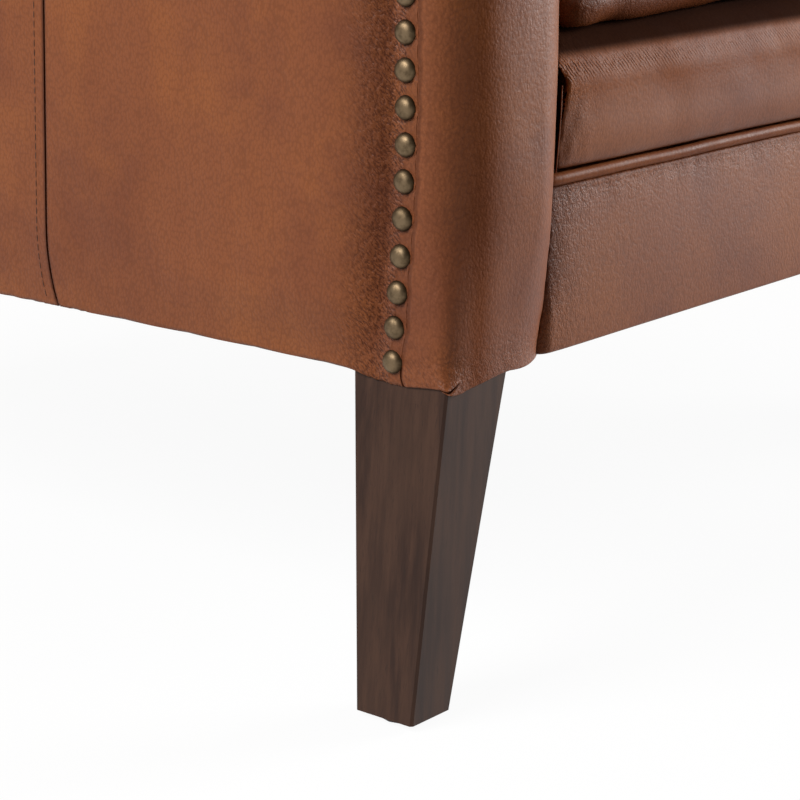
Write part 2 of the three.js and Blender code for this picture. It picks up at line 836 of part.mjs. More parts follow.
// Zigzag springs from rail to rail, tied together by two cross wires.
function seatSpringUnit() {
  const from = columnBase + seatRailThickness / 2;
  const to = rearRailFront + seatRailThickness / 2;
  const rest = seatRailTop + touch + springWire / 2;
  const height = (y) => rest + springCrown * Math.sin((Math.PI * (y - from)) / (to - from));
  const loops = Math.floor((to - from) / springLoop);
  const pitch = (to - from) / loops;
  const springShare = 1 / (springCount + 1);
  const pieces = [];
  for (let s = 1; s <= springCount; s += 1) {
    const middle = THREE.MathUtils.lerp(-betweenBackPosts, betweenBackPosts, s * springShare);
    const points = [];
    for (let i = 0; i < loops; i += 1) {
      const side = i % 2 ? -springSwing : springSwing;
      for (const share of springBendShares) {
        const y = from + (i + share) * pitch;
        points.push(new THREE.Vector3(middle + side, y, height(y)));
      }
    }
    pieces.push(wire(points, springWire));
  }
  for (const share of springTieShares) {
    const y = THREE.MathUtils.lerp(from, to, share);
    const reach = THREE.MathUtils.lerp(-betweenBackPosts, betweenBackPosts, springShare) - springSwing;
    const ends = [reach, -reach].map((x) => new THREE.Vector3(x, y, height(y)));
    pieces.push(wire(ends, springWire));
  }
  return join(pieces);
}

// Webbing straps between the back posts: uprights, with crossings in front, tied where they meet.
function backWebbing() {
  const half = halfWidth - postInset - armRailWidth - touch;
  const rear = -backPostFront - touch;
  const [upright, crossing] = [rear - webThickness, rear - 2 * webThickness];
  const spread = (count, from, to, i) => THREE.MathUtils.lerp(from, to - webStrap, i / (count - 1));
  const straps = [];
  for (let i = 0; i < webUprights; i += 1) {
    const x = spread(webUprights, -half, half, i);
    straps.push(block([x, upright, lowerBackRailBase], [x + webStrap, rear, backPostTop]));
  }
  for (let i = 0; i < webCrossings; i += 1) {
    const z = spread(webCrossings, lowerBackRailBase, backPostTop, i);
    straps.push(block([-half, crossing, z], [half, upright, z + webStrap]));
  }
  return raked(join(straps));
}

// Seat platform

function springInsulator() {
  const half = halfWidth - backPostInset - touch;
  const front = columnBase + postDepth + 2 * touch;
  const rear = outsideBack(insulatorTop) - backPostFront - insulatorEndGap;
  return block([-half, front, insulatorTop - insulatorThickness], [half, rear, insulatorTop]);
}

function deckPad() {
  const rear = outsideBack(nosingBase) - backPostFront - insulatorEndGap;
  return block([-frontHalf, nosingDepth + touch, nosingBase], [frontHalf, rear, deckTop]);
}

// Black cloth under the seat, cut away round the posts.
function dustCover() {
  const wide = halfWidth - sideRailInset - sideRailThickness - touch;
  const narrow = halfWidth - postInset - postWidth - touch;
  const frontY = columnBase + touch + seatRailThickness / 2;
  const postY = columnBase + postDepth + 2 * touch;
  const backPostY = outsideBack(bodyBase) - backPostFront - touch;
  const rearY = rearRailFront + seatRailThickness / 2;
  const right = [
    [narrow, frontY], [narrow, postY], [wide, postY], [wide, backPostY],
    [betweenBackPosts, backPostY], [betweenBackPosts, rearY],
  ];
  const outline = [...right, ...right.map(([x, y]) => [-x, y]).reverse()];
  const levels = [bodyBase, bodyBase + dustCoverThickness];
  return loft(levels.map((z) => outline.map(([x, y]) => [x, y, z])), outline);
}

// Legs

// A tapered leg between a top and a foot, each [depth, y, width across, width front to back].
function leg(top, foot, bolt) {
  const ring = ([depth, y, across, along], z) => {
    const e = legEdge;
    return [
      [depth + e, y],
      [depth + across - e, y],
      [depth + across, y + e],
      [depth + across, y + along - e],
      [depth + across - e, y + along],
      [depth + e, y + along],
      [depth, y + along - e],
      [depth, y + e],
    ].map(([d, v]) => [crossDepth(d), v, z]);
  };
  const rings = [ring(foot, glideHeight + touch), ring(top, legHeight)];
  return cut(loft(rings, ring(top, 0)), boltHole([crossDepth(bolt[0]), bolt[1]]));
}

const frontFoot = [
  frontLegInset + (frontLegTop[0] - frontLegFoot[0]) / 2 - frontLegSplay,
  frontLegInset + (frontLegTop[1] - frontLegFoot[1]) / 2 - frontLegRake,
];
const rearLegTopY = outsideBack(bodyBase) - panelThickness - rearLegTop[1];
const rearFoot = [
  rearLegInset + (rearLegTop[0] - rearLegFoot[0]) / 2 - rearLegSplay,
  rearLegTopY + (rearLegTop[1] - rearLegFoot[1]) / 2 + rearLegRake,
];

// A bolt stands in the middle of what its leg and the timber over it share.
const frontBoltPlace = [
  (postInset + frontLegInset + frontLegTop[0]) / 2,
  (columnBase + touch + frontLegInset + frontLegTop[1]) / 2,
];
const rearBoltPlace = [sideRailInset + sideRailThickness / 2, rearLegTopY + rearLegTop[1] / 2];

const frontLeg = () => leg(
  [frontLegInset, frontLegInset, ...frontLegTop],
  [...frontFoot, ...frontLegFoot],
  frontBoltPlace,
);
const rearLeg = () => leg(
  [rearLegInset, rearLegTopY, ...rearLegTop],
  [...rearFoot, ...rearLegFoot],
  rearBoltPlace,
);

const glide = (foot, size) => rod(
  [crossDepth(foot[0] + size[0] / 2), foot[1] + size[1] / 2],
  0,
  glideHeight,
  glideDiameter / 2,
);

// Assembly

addPair('front_leg', frontLeg, 'stain');
addPair('rear_leg', rearLeg, 'stain');
addPair('front_glide', () => glide(frontFoot, frontLegFoot), 'glide');
addPair('rear_glide', () => glide(rearFoot, rearLegFoot), 'glide');
addPair('front_leg_bolt', () => legBolt(frontBoltPlace), 'steel');
addPair('rear_leg_bolt', () => legBolt(rearBoltPlace), 'steel');

add('front_rail', frontRail(), 'timber');
add('rear_rail', rearRail(), 'timber');
addPair('side_rail', sideRail, 'timber');
addPair('front_post', frontPost, 'timber');
addPair('arm_rail', armRail, 'timber');
addPair('back_post', backPost, 'timber');
addPair('wing_board', wingBoard, 'timber');
add('back_top_rail', backRail(backPostTop - backRailHeight), 'timber');
add('back_lower_rail', backRail(lowerBackRailBase), 'timber');
addPair('front_corner_block', () => cornerBlock(columnBase + postDepth + 2 * touch, 1), 'timber');
addPair('rear_corner_block', () => cornerBlock(outsideBack(bodyBase) - backPostFront - touch, -1), 'timber');

add('seat_spring_unit', seatSpringUnit(), 'steel');
add('spring_insulator', springInsulator(), 'felt');
add('deck_pad', deckPad(), 'felt');
add('back_webbing', backWebbing(), 'webbing');
add('dust_cover', dustCover(), 'cambric');

add('deck_nosing', deckNosing(), 'leather');
add('front_welt', frontWelt(), 'leather');
add('front_border', frontBorder(), 'leather');
add('seat_cushion', seatCushion(), 'leather');
add('inside_back_pad', insideBackPad(), 'leather');
add('outside_back_panel', outsideBackPanel(), 'leather');
addPair('arm_front_pad', armFrontPad, 'leather');
addPair('arm_top_pad', armTopPad, 'leather');
addPair('inside_arm_pad', insideArmPad, 'leather');
addPair('wing_edge_pad', wingEdgePad, 'leather');
addPair('inside_wing_pad', wingPad, 'leather');
addPair('outside_arm_front_panel', outsideArmFrontPanel, 'leather');
addPair('outside_arm_rear_panel', outsideArmRearPanel, 'leather');
addPair('outside_wing_panel', outsideWingPanel, 'leather');
addPair('nail_trim', nailTrim, 'brass');

// The origin is on the floor, under the middle of the chair's box.
const extent = new THREE.Box3().setFromObject(chair);
chair.position.set(
  -(extent.min.x + extent.max.x) / 2,
  -(extent.min.y + extent.max.y) / 2,
  -extent.min.z,
);

export default chair;
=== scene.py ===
"""Leather wingback armchair: the looks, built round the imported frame.

The chair's own millimetre frame is used for drawing: depth is the distance inward from the
outer face of the sitter's right side, y runs back from the front line and z is height.
Leather pieces of the right side are made first and mirrored for the left.
"""

import logging
import math
from dataclasses import dataclass, field
from enum import Enum
from itertools import product
from typing import Callable, Optional, Sequence

import bpy
import numpy as np
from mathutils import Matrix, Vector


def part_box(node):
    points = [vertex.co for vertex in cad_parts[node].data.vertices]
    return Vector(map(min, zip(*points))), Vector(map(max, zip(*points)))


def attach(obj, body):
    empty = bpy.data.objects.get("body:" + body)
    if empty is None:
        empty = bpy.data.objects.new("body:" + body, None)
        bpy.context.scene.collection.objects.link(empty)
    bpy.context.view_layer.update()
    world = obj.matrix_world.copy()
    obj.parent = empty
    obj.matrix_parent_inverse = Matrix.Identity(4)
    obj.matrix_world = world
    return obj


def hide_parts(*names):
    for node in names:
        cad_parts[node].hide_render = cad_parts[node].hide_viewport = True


logging.basicConfig(level=logging.INFO, format="%(message)s")
log = logging.getLogger("wingback")


class Side(Enum):
    """The two sides of the chair, as the sitter has them."""

    RIGHT = "right"
    LEFT = "left"


# The chair's frame and lines


@dataclass(frozen=True)
class ChairLines:
    """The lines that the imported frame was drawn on, in millimetres."""

    outer_face: float = -365.0
    front_line: float = -400.07
    arm_width: float = 90.0
    base: float = 161.0
    arm_rail_top: float = 580.6
    touch: float = 0.3
    column_base: float = 29.7
    column_corner: float = 6.0
    column_seam: float = 12.2
    column_seam_at_base: float = 4.6
    column_tuck: float = 98.0
    column_rise: float = 35.7
    column_rise_at_base: float = 29.8
    turn_height: float = 574.9
    arm_top: float = 580.9
    arm_top_start: float = 90.3
    panel: float = 10.0
    wing_front: float = 428.0
    wing_board_top: float = 1012.0
    wing_top_width: float = 62.0
    round_power: float = 2.55
    wing_shares: tuple[tuple[float, float], ...] = (
        (0, 0), (0.02, 0.137), (0.02, 0.276), (-0.008, 0.43), (-0.04, 0.59), (-0.03, 0.74),
        (0.055, 0.868), (0.225, 0.954), (0.46, 0.992), (0.73, 1), (1, 1),
    )

    @property
    def panel_top(self) -> float:
        """Height of the seam between the outside arm and the outside wing."""
        return self.arm_rail_top + self.column_seam

    def place(self, points: np.ndarray) -> np.ndarray:
        """Points of depth, y and z as metres in the room."""
        shift = np.array([self.outer_face, self.front_line, 0.0])
        return (np.asarray(points, float) + shift) / 1000

    def outside_back(self, z: np.ndarray | float) -> np.ndarray | float:
        """How far back the outside of the back is, at a height."""
        return 706 + (z - self.base) * math.tan(math.radians(6.5))

    def tucked(self, z: np.ndarray | float) -> np.ndarray | float:
        """How far the column's leather is drawn in, from 0 above to 1 at its foot."""
        return 1 - smooth((np.asarray(z, float) - self.base) / self.column_tuck)

    def seam(self, z: np.ndarray | float) -> np.ndarray | float:
        """The column seam, in front of the back of the column's pad."""
        return mix(self.column_seam, self.column_seam_at_base, self.tucked(z))

    def wing_width(self, z: np.ndarray | float) -> np.ndarray | float:
        """Thickness of a wing at a height."""
        low = self.arm_rail_top + self.touch
        share = np.clip((np.asarray(z, float) - low) / (self.wing_board_top - low), 0, 1)
        return mix(self.arm_width, self.wing_top_width, share)

    def column_seam_line(self, inset: float) -> np.ndarray:
        """The seam beside the column as y and z points, moved back by an inset."""
        centre = (self.column_base + self.column_corner, self.turn_height)
        z = np.linspace(self.base + 0.5, centre[1], 90)
        rise = np.stack([self.column_base - self.seam(z) + inset, z], axis=1)
        radius = self.column_corner + self.column_seam - inset
        turn = np.linspace(0, math.pi / 2, 24)[1:]
        arc = np.stack([centre[0] - np.cos(turn) * radius, centre[1] + np.sin(turn) * radius], 1)
        return np.vstack([rise, arc])

    def piece_seam_line(self, shift: float) -> np.ndarray:
        """The sewn seam in the outside arm as y and z points."""
        z = np.linspace(self.base + 0.5, self.panel_top, 90)
        hemmed = z + 4 * smooth((190 - z) / 26)
        swing = 10.2 * np.clip((206 - hemmed) / 44.5, 0, 1) ** 2.5 - 0.4
        return np.stack([257 + (z - 246.6) * -0.04 - swing + shift, z], axis=1)

    def wing_path(self, outward: float, count: int = 160) -> np.ndarray:
        """The front and top edge of a wing's board, moved outward, as y and z points."""
        shares = np.array(self.wing_shares, float)
        low = self.arm_rail_top + self.touch
        rear = self.outside_back(self.wing_board_top) - self.panel - 2 * self.touch
        knots = np.stack([
            mix(self.wing_front, rear, shares[:, 0]), mix(low, self.wing_board_top, shares[:, 1]),
        ], axis=1)
        even = Line(curve_through(knots, 900)).at(np.linspace(0, 1, count))
        along = np.gradient(even, axis=0)
        along /= np.linalg.norm(along, axis=1)[:, None]
        return even + np.stack([-along[:, 1], along[:, 0]], axis=1) * outward


def smooth(share: np.ndarray | float) -> np.ndarray | float:
    """Smooth step from 0 to 1."""
    share = np.clip(share, 0, 1)
    return share * share * (3 - 2 * share)


def mix(low: np.ndarray | float, high: np.ndarray | float, share: np.ndarray | float) -> np.ndarray:
    """Value a share of the way from low to high."""
    return low + (high - low) * share


class Line:
    """A line of points that is read by shares of its length."""

    def __init__(self, points: np.ndarray) -> None:
        self.points = np.asarray(points, float)
        steps = np.linalg.norm(np.diff(self.points, axis=0), axis=1)
        self.reach = np.concatenate([[0.0], np.cumsum(steps)])

    @property
    def length(self) -> float:
        """Length of the line."""
        return float(self.reach[-1])

    def at(self, shares: np.ndarray) -> np.ndarray:
        """Points at shares of the length."""
        wanted = np.asarray(shares, float) * self.length
        columns = [np.interp(wanted, self.reach, c) for c in self.points.T]
        return np.stack(columns, axis=-1)

    def distance(self, places: np.ndarray, step: float = 1.5) -> np.ndarray:
        """Distance from each place to the nearest of the line's points, a step apart."""
        samples = self.at(np.linspace(0, 1, max(int(self.length / step), 8)))
        nearest = np.full(len(places), np.inf)
        for start in range(0, len(samples), 64):
            gap = places[:, None, :] - samples[None, start:start + 64, :]
            nearest = np.minimum(nearest, np.sqrt((gap**2).sum(2)).min(1))
        return nearest


def spread(length: float, near: float, middle: float, far: float, growth: float = 1.22) -> np.ndarray:
    """Shares of a length whose steps start small at both ends.

    Args:
        length: the length, in millimetres.
        near: the first step.
        middle: the largest step.
        far: the last step.
        growth: how much each step may outgrow the one before.

    Returns:
        Shares from 0 to 1.
    """
    def run(first: float) -> list[float]:
        steps = [first]
        while steps[-1] * growth < middle:
            steps.append(steps[-1] * growth)
        return steps

    start, end = run(near), run(far)
    rest = max(int(round((length - sum(start) - sum(end)) / middle)), 1)
    steps = np.array(start + [middle] * rest + end[::-1])
    places = np.concatenate([[0.0], np.cumsum(steps)])
    return places / places[-1]


def ripple(points: np.ndarray, size: float, seed: int) -> np.ndarray:
    """Smooth random relief.

    Args:
        points: places, in millimetres.
        size: how far apart its bumps are.
        seed: picks one pattern.

    Returns:
        Heights from -1 to 1.
    """
    cells = 24
    lattice = np.random.default_rng(seed).uniform(-1, 1, (cells,) * 3)
    scaled = np.asarray(points, float) / size + 500.37
    low = np.floor(scaled).astype(int)
    part = smooth(scaled - low)
    value = np.zeros(len(scaled))
    for corner in product((0, 1), repeat=3):
        weight = np.prod(np.where(corner, part, 1 - part), axis=1)
        index = (low + corner) % cells
        value += weight * lattice[index[:, 0], index[:, 1], index[:, 2]]
    return value


def roll(distance: np.ndarray, radius: float) -> np.ndarray:
    """How far a surface has turned down at a distance from an edge of that radius."""
    short = radius - np.clip(distance, 0, radius)
    return radius - np.sqrt(np.maximum(radius**2 - short**2, 0))


def bell(value: np.ndarray, width: float | np.ndarray, middle: float = 0.0) -> np.ndarray:
    """Share that is 1 at a middle value and fades over a width on both sides of it."""
    return np.exp(-(((value - middle) / width) ** 2))


def curve_through(knots: np.ndarray, count: int) -> np.ndarray:
    """A smooth curve through points, as this many points."""
    t = np.linspace(0, len(knots) - 1, count)
    i = np.minimum(t.astype(int), len(knots) - 2)
    w = (t - i)[:, None]
    p0, p1 = knots[np.maximum(i - 1, 0)], knots[i]
    p2, p3 = knots[i + 1], knots[np.minimum(i + 2, len(knots) - 1)]
    v0, v1 = (p2 - p0) / 2, (p3 - p1) / 2
    return (2 * p1 - 2 * p2 + v0 + v1) * w**3 + (-3 * p1 + 3 * p2 - 2 * v0 - v1) * w**2 + v0 * w + p1


CHAIR = ChairLines()
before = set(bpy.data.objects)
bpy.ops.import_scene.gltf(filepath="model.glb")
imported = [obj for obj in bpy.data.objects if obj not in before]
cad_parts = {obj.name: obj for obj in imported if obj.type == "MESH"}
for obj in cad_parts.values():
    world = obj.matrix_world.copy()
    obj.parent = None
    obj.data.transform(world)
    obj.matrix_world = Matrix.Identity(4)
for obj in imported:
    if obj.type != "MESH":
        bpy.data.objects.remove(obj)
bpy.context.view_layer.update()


# Modelling tools


def alone(piece: Optional[bpy.types.Object] = None) -> None:
    """Leaves nothing selected but the piece, and makes it active."""
    bpy.ops.object.select_all(action="DESELECT")
    bpy.context.view_layer.objects.active = piece
    if piece is not None:
        piece.select_set(True)


def places_of(piece: bpy.types.Object) -> np.ndarray:
    """The places of a piece's vertices, in metres."""
    flat = np.empty(len(piece.data.vertices) * 3)
    piece.data.vertices.foreach_get("co", flat)
    return flat.reshape(-1, 3)


def move_to(piece: bpy.types.Object, places: np.ndarray) -> None:
    """Puts a piece's vertices at these places, in metres."""
    piece.data.vertices.foreach_set("co", np.asarray(places, float).ravel())
    piece.data.update()


def normals_of(piece: bpy.types.Object) -> np.ndarray:
    """The way that a piece's surface faces at each vertex."""
    flat = np.empty(len(piece.data.vertices) * 3)
    piece.data.vertices.foreach_get("normal", flat)
    return flat.reshape(-1, 3)


def mark(piece: bpy.types.Object, name: str, values: np.ndarray | float) -> None:
    """Keeps a number for each vertex, or one for all, which a finish reads by its name."""
    attribute = piece.data.attributes.new(name, "FLOAT", "POINT")
    attribute.data.foreach_set("value", np.full(len(piece.data.vertices), values, np.float32))


def net(name: str, points: np.ndarray) -> bpy.types.Object:
    """A mesh net through rows and columns of points.

    Args:
        name: the piece's name.
        points: rows by columns by 3, in metres.

    Returns:
        The piece, whose vertices are in row order.
    """
    rows, columns = points.shape[:2]
    alone()
    bpy.ops.mesh.primitive_grid_add(x_subdivisions=columns - 1, y_subdivisions=rows - 1, size=2)
    piece = bpy.context.object
    piece.name = piece.data.name = name
    grid = places_of(piece)
    column = np.rint((grid[:, 0] + 1) / 2 * (columns - 1)).astype(int)
    row = np.rint((grid[:, 1] + 1) / 2 * (rows - 1)).astype(int)
    move_to(piece, points[row, column])
    return piece


def of_points(
    name: str, points: Sequence[np.ndarray], polygons: list[tuple[int, ...]],
) -> bpy.types.Object:
    """A piece of many small copies, from their points in millimetres and their faces."""
    mesh = bpy.data.meshes.new(name)
    mesh.from_pydata((np.vstack(points) / 1000).tolist(), [], polygons)
    piece = bpy.data.objects.new(name, mesh)
    bpy.context.scene.collection.objects.link(piece)
    return piece


def packed_box(node: str) -> tuple[np.ndarray, np.ndarray]:
    """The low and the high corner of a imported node, in millimetres."""
    low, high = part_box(node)
    return np.array(low) * 1000, np.array(high) * 1000


def flat_spots(across: np.ndarray, along: np.ndarray) -> np.ndarray:
    """Places on a flat sheet, for its relief to be drawn from."""
    return np.column_stack([across.ravel(), along.ravel(), np.zeros(across.size)])


def close_up(piece: bpy.types.Object, merge: float = 1e-6) -> None:
    """Merges doubles, fills what is open and turns the faces outward."""
    alone(piece)
    bpy.ops.object.mode_set(mode="EDIT")
    bpy.ops.mesh.select_all(action="SELECT")
    bpy.ops.mesh.remove_doubles(threshold=merge)
    bpy.ops.mesh.select_all(action="SELECT")
    bpy.ops.mesh.fill_holes(sides=0)
    bpy.ops.mesh.select_all(action="SELECT")
    bpy.ops.mesh.normals_make_consistent(inside=False)
    bpy.ops.object.mode_set(mode="OBJECT")


def back_up(piece: bpy.types.Object, flatten: Callable[[np.ndarray], np.ndarray]) -> None:
    """Gives a panel its body: its rim is extruded, laid on its flat back and closed there.

    Args:
        piece: the panel's face, open at its rim.
        flatten: takes places in metres and lays them on the panel's back.
    """
    before = len(piece.data.vertices)
    alone(piece)
    bpy.ops.object.mode_set(mode="EDIT")
    bpy.ops.mesh.select_mode(type="EDGE")
    bpy.ops.mesh.select_all(action="DESELECT")
    bpy.ops.mesh.select_non_manifold()
    bpy.ops.mesh.extrude_edges_move(TRANSFORM_OT_translate={"value": (0, 0, 0)})
    bpy.ops.mesh.select_mode(type="VERT")
    bpy.ops.object.mode_set(mode="OBJECT")
    places = places_of(piece)
    places[before:] = flatten(places[before:])
    move_to(piece, places)
    close_up(piece)


def apply(piece: bpy.types.Object, kind: str, **settings: object) -> None:
    """Adds a modifier with these settings and applies it."""
    alone(piece)
    modifier = piece.modifiers.new(kind.title(), kind)
    for name, value in settings.items():
        setattr(modifier, name, value)
    bpy.ops.object.modifier_apply(modifier=modifier.name)


def soften(piece: bpy.types.Object, angle: float = 40) -> None:
    """Shades a piece smooth, apart from edges sharper than an angle."""
    alone(piece)
    bpy.ops.object.shade_smooth_by_angle(angle=math.radians(angle))


def copy_of(node: str, name: str) -> bpy.types.Object:
    """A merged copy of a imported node, free of its material."""
    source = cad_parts[node]
    piece = bpy.data.objects.new(name, source.data.copy())
    bpy.context.scene.collection.objects.link(piece)
    piece.data.name = name
    piece.data.materials.clear()
    close_up(piece, merge=1e-5)
    return piece


def mirrored(piece: bpy.types.Object, name: str) -> bpy.types.Object:
    """The same piece for the other side of the chair, with its own mesh."""
    twin = bpy.data.objects.new(name, piece.data.copy())
    twin.data.name = name
    bpy.context.scene.collection.objects.link(twin)
    move_to(twin, places_of(twin) * (-1, 1, 1))
    alone(twin)
    bpy.ops.object.mode_set(mode="EDIT")
    bpy.ops.mesh.select_all(action="SELECT")
    bpy.ops.mesh.flip_normals()
    bpy.ops.object.mode_set(mode="OBJECT")
    return twin


# Finishes


# Over a width in millimetres, this is the scale at which a wave texture's bands are that far apart.
WAVE_SCALE = 314.16


def linear(code: str) -> tuple[float, float, float, float]:
    """An sRGB hex colour as linear light."""
    parts = [int(code[i:i + 2], 16) / 255 for i in (1, 3, 5)]
    light = [c / 12.92 if c <= 0.04045 else ((c + 0.055) / 1.055) ** 2.4 for c in parts]
    return (*light, 1.0)


def add_node(
    tree: bpy.types.NodeTree, kind: str, links: Optional[dict] = None, **settings: object
) -> bpy.types.Node:
    """Adds a node with its settings and links.

    Args:
        tree: the finish's node tree.
        kind: the node's type, without its Shader prefix where it has one.
        links: what each input gets, by name or number: a value, or another node's output.
        settings: the node's own options.

    Returns:
        The node.
    """
    node = tree.nodes.new("ShaderNode" + kind)
    for name, value in settings.items():
        setattr(node, name, value)
    for key, value in (links or {}).items():
        if isinstance(value, bpy.types.NodeSocket):
            tree.links.new(value, node.inputs[key])
        else:
            node.inputs[key].default_value = value
    return node


class Sheet:
    """One material's node tree, with the nodes that every finish starts from."""

    def __init__(self, name: str) -> None:
        self.material = bpy.data.materials.new(name)
        self.material.use_nodes = True
        self.tree = self.material.node_tree
        self.tree.nodes.clear()
        self.place = self.add("TexCoord").outputs["Object"]

    def add(self, kind: str, links: Optional[dict] = None, **settings: object) -> bpy.types.Node:
        """Adds a node to this material."""
        return add_node(self.tree, kind, links, **settings)

    def scaled(self, scale: Sequence[float], turn: Sequence[float] = (0, 0, 0)) -> bpy.types.NodeSocket:
        """The object's coordinates, turned and then scaled."""
        turned = self.add("Mapping", {"Vector": self.place, "Rotation": tuple(turn)})
        links = {"Vector": turned.outputs[0], "Scale": tuple(scale)}
        return self.add("Mapping", links).outputs[0]

    def noise(
        self, vector: bpy.types.NodeSocket, millimetres: float, detail: float = 2, rough: float = 0.5
    ) -> bpy.types.NodeSocket:
        """Cloudy pattern whose blotches are about this many millimetres across."""
        links = {"Vector": vector, "Scale": 1000 / millimetres, "Detail": detail, "Roughness": rough}
        return self.add("TexNoise", links).outputs["Fac"]

    def math(self, operation: str, *values: object) -> bpy.types.NodeSocket:
        """A sum or other operation on values."""
        links = dict(enumerate(values))
        return self.add("Math", links, operation=operation).outputs[0]

    def between(
        self, value: bpy.types.NodeSocket, low: float, high: float, start: float = 0, end: float = 1
    ) -> bpy.types.NodeSocket:
        """A value from low to high, spread smoothly over start to end."""
        links = {"Value": value, "From Min": low, "From Max": high, "To Min": start, "To Max": end}
        return self.add("MapRange", links, interpolation_type="SMOOTHSTEP").outputs[0]

    def blend(
        self, share: object, first: object, second: object, way: str = "MIX"
    ) -> bpy.types.NodeSocket:
        """A colour between two others."""
        node = self.add("Mix", data_type="RGBA", blend_type=way)
        for socket, value in ((node.inputs[0], share), (node.inputs[6], first), (node.inputs[7], second)):
            if isinstance(value, bpy.types.NodeSocket):
                self.tree.links.new(value, socket)
            else:
                socket.default_value = value
        return node.outputs[2]

    def kept(self, name: str) -> bpy.types.NodeSocket:
        """The number kept on the mesh under a name."""
        return self.add("Attribute", attribute_name=name).outputs["Fac"]

    def bump(
        self, height: bpy.types.NodeSocket, depth_mm: float, strength: float = 1,
        under: Optional[bpy.types.NodeSocket] = None,
    ) -> bpy.types.NodeSocket:
        """A relief of a depth in millimetres, over another relief where one is given."""
        links = {"Height": height, "Distance": depth_mm / 1000, "Strength": strength}
        if under is not None:
            links["Normal"] = under
        return self.add("Bump", links).outputs[0]

    def finish(self, links: dict) -> bpy.types.Material:
        """Ends the material with its shader."""
        shader = self.add("BsdfPrincipled", links)
        output = self.add("OutputMaterial")
        self.tree.links.new(shader.outputs[0], output.inputs[0])
        return self.material


@dataclass(frozen=True)
class Cowhide:
    """Aniline-dyed cowhide, drum dyed and rubbed: clouded browns, pebble grain, soft gloss."""

    name: str = "aniline_cowhide"
    body: str = "#8A4F2F"
    rubbed: str = "#93552F"
    cloud: str = "#7D462C"
    # crease: colour of the grain's creases, and of painted shade
    crease_and_shade: str = "#48200C"
    # dark: colour of painted shadow
    dark: str = "#1C0903"
    grain: float = 1.5
    pebble: float = 3.2
    gloss: float = 0.43
    sheen: float = 0.24

    def make(self) -> bpy.types.Material:
        """The material. The fine grain breaks up the gloss, and the pebbles show where it is slack."""
        sheet = Sheet(self.name)
        upright = sheet.scaled((1, 1, 0.72))
        warp = sheet.noise(sheet.place, 9, 2)
        drift = sheet.add("VectorMath", {0: warp, "Scale": 0.0016}, operation="SCALE").outputs[0]
        swayed = sheet.add("VectorMath", {0: upright, 1: drift}, operation="ADD").outputs[0]
        cells = sheet.add("TexVoronoi", {
            "Vector": swayed, "Scale": 1000 / self.grain, "Randomness": 0.9,
        }, feature="F1").outputs["Distance"]
        pebbles = sheet.add("TexVoronoi", {
            "Vector": swayed, "Scale": 1000 / self.pebble, "Randomness": 1.0,
        }, feature="F1").outputs["Distance"]
        slack = sheet.kept("slack")
        streak = sheet.noise(sheet.scaled((1, 1, 0.36), (math.radians(43), 0, 0)), 0.9, 2, 0.65)
        folds = sheet.add("TexWave", {
            "Vector": sheet.scaled((1, 1, 1), (0, math.radians(39), 0)), "Scale": WAVE_SCALE / 1.85,
            "Distortion": 3.2, "Detail": 2, "Detail Scale": 1.1,
        }, wave_type="BANDS", bands_direction="X").outputs["Fac"]
        broken = sheet.between(sheet.noise(sheet.place, 3.2, 2), 0.36, 0.6, 0.25, 1)
        ridge = sheet.math("MULTIPLY", sheet.kept("ridge"), broken)
        fine = sheet.math("MULTIPLY", cells, -0.5)
        coarse = sheet.math("MULTIPLY", pebbles, sheet.math("MULTIPLY_ADD", slack, -1.3, -0.12))
        coarse = sheet.math("MULTIPLY_ADD", sheet.math("MULTIPLY", slack, 2.9), streak, coarse)
        coarse = sheet.math("MULTIPLY_ADD", sheet.math("MULTIPLY", ridge, 2.6), folds, coarse)
        dust = sheet.noise(sheet.place, 0.8, 2)
        height = sheet.math("ADD", fine, sheet.math("MULTIPLY_ADD", dust, 0.25, coarse))
        height = sheet.math("MULTIPLY", height, sheet.math("MULTIPLY_ADD", sheet.kept("taut"), -0.6, 1))
        clouds = sheet.noise(sheet.place, 62, 4, 0.55)
        streaks = sheet.noise(sheet.scaled((1, 1, 0.45)), 19, 3, 0.6)
        tone = sheet.blend(sheet.between(clouds, 0.42, 0.66), linear(self.body), linear(self.rubbed))
        tone = sheet.blend(
            sheet.between(sheet.noise(sheet.place, 85, 4, 0.6), 0.5, 0.72), tone, linear(self.cloud),
        )
        tone = sheet.blend(sheet.between(streaks, 0.45, 0.8, 0, 0.35), tone, linear(self.cloud))
        pits = sheet.between(cells, 0.35, 0.75, 0, 0.22)
        flecks = sheet.math("MULTIPLY", sheet.between(streak, 0.54, 0.4, 0, 0.85), slack)
        # Painted shade in the troughs of the ridge's folds.
        lines = sheet.math("MULTIPLY", sheet.between(folds, 0.6, 0.2, 0, 0.9), ridge)
        # The shade mark is painted shade in the crease colour; the pits and flecks are the grain's own
        # creases.
        for share in (pits, flecks, lines, sheet.kept("shade")):
            tone = sheet.blend(share, tone, linear(self.crease_and_shade))
        # Painted shadow: where this mark is set, the hide turns to the dark colour, rougher and without
        # gloss.
        painted_shadow = sheet.kept("painted_shadow")
        tone = sheet.blend(painted_shadow, tone, linear(self.dark))
        gloss = sheet.between(streaks, 0.3, 0.7, self.gloss - 0.04, self.gloss + 0.05)
        matt = sheet.math("MAXIMUM", painted_shadow, sheet.kept("dull"))
        return sheet.finish({
            "Base Color": tone, "Roughness": sheet.math("MULTIPLY_ADD", painted_shadow, 0.5, gloss),
            "Specular IOR Level": sheet.math("MULTIPLY_ADD", matt, -self.sheen, self.sheen),
            "Normal": sheet.bump(height, 0.3, 0.95),
        })


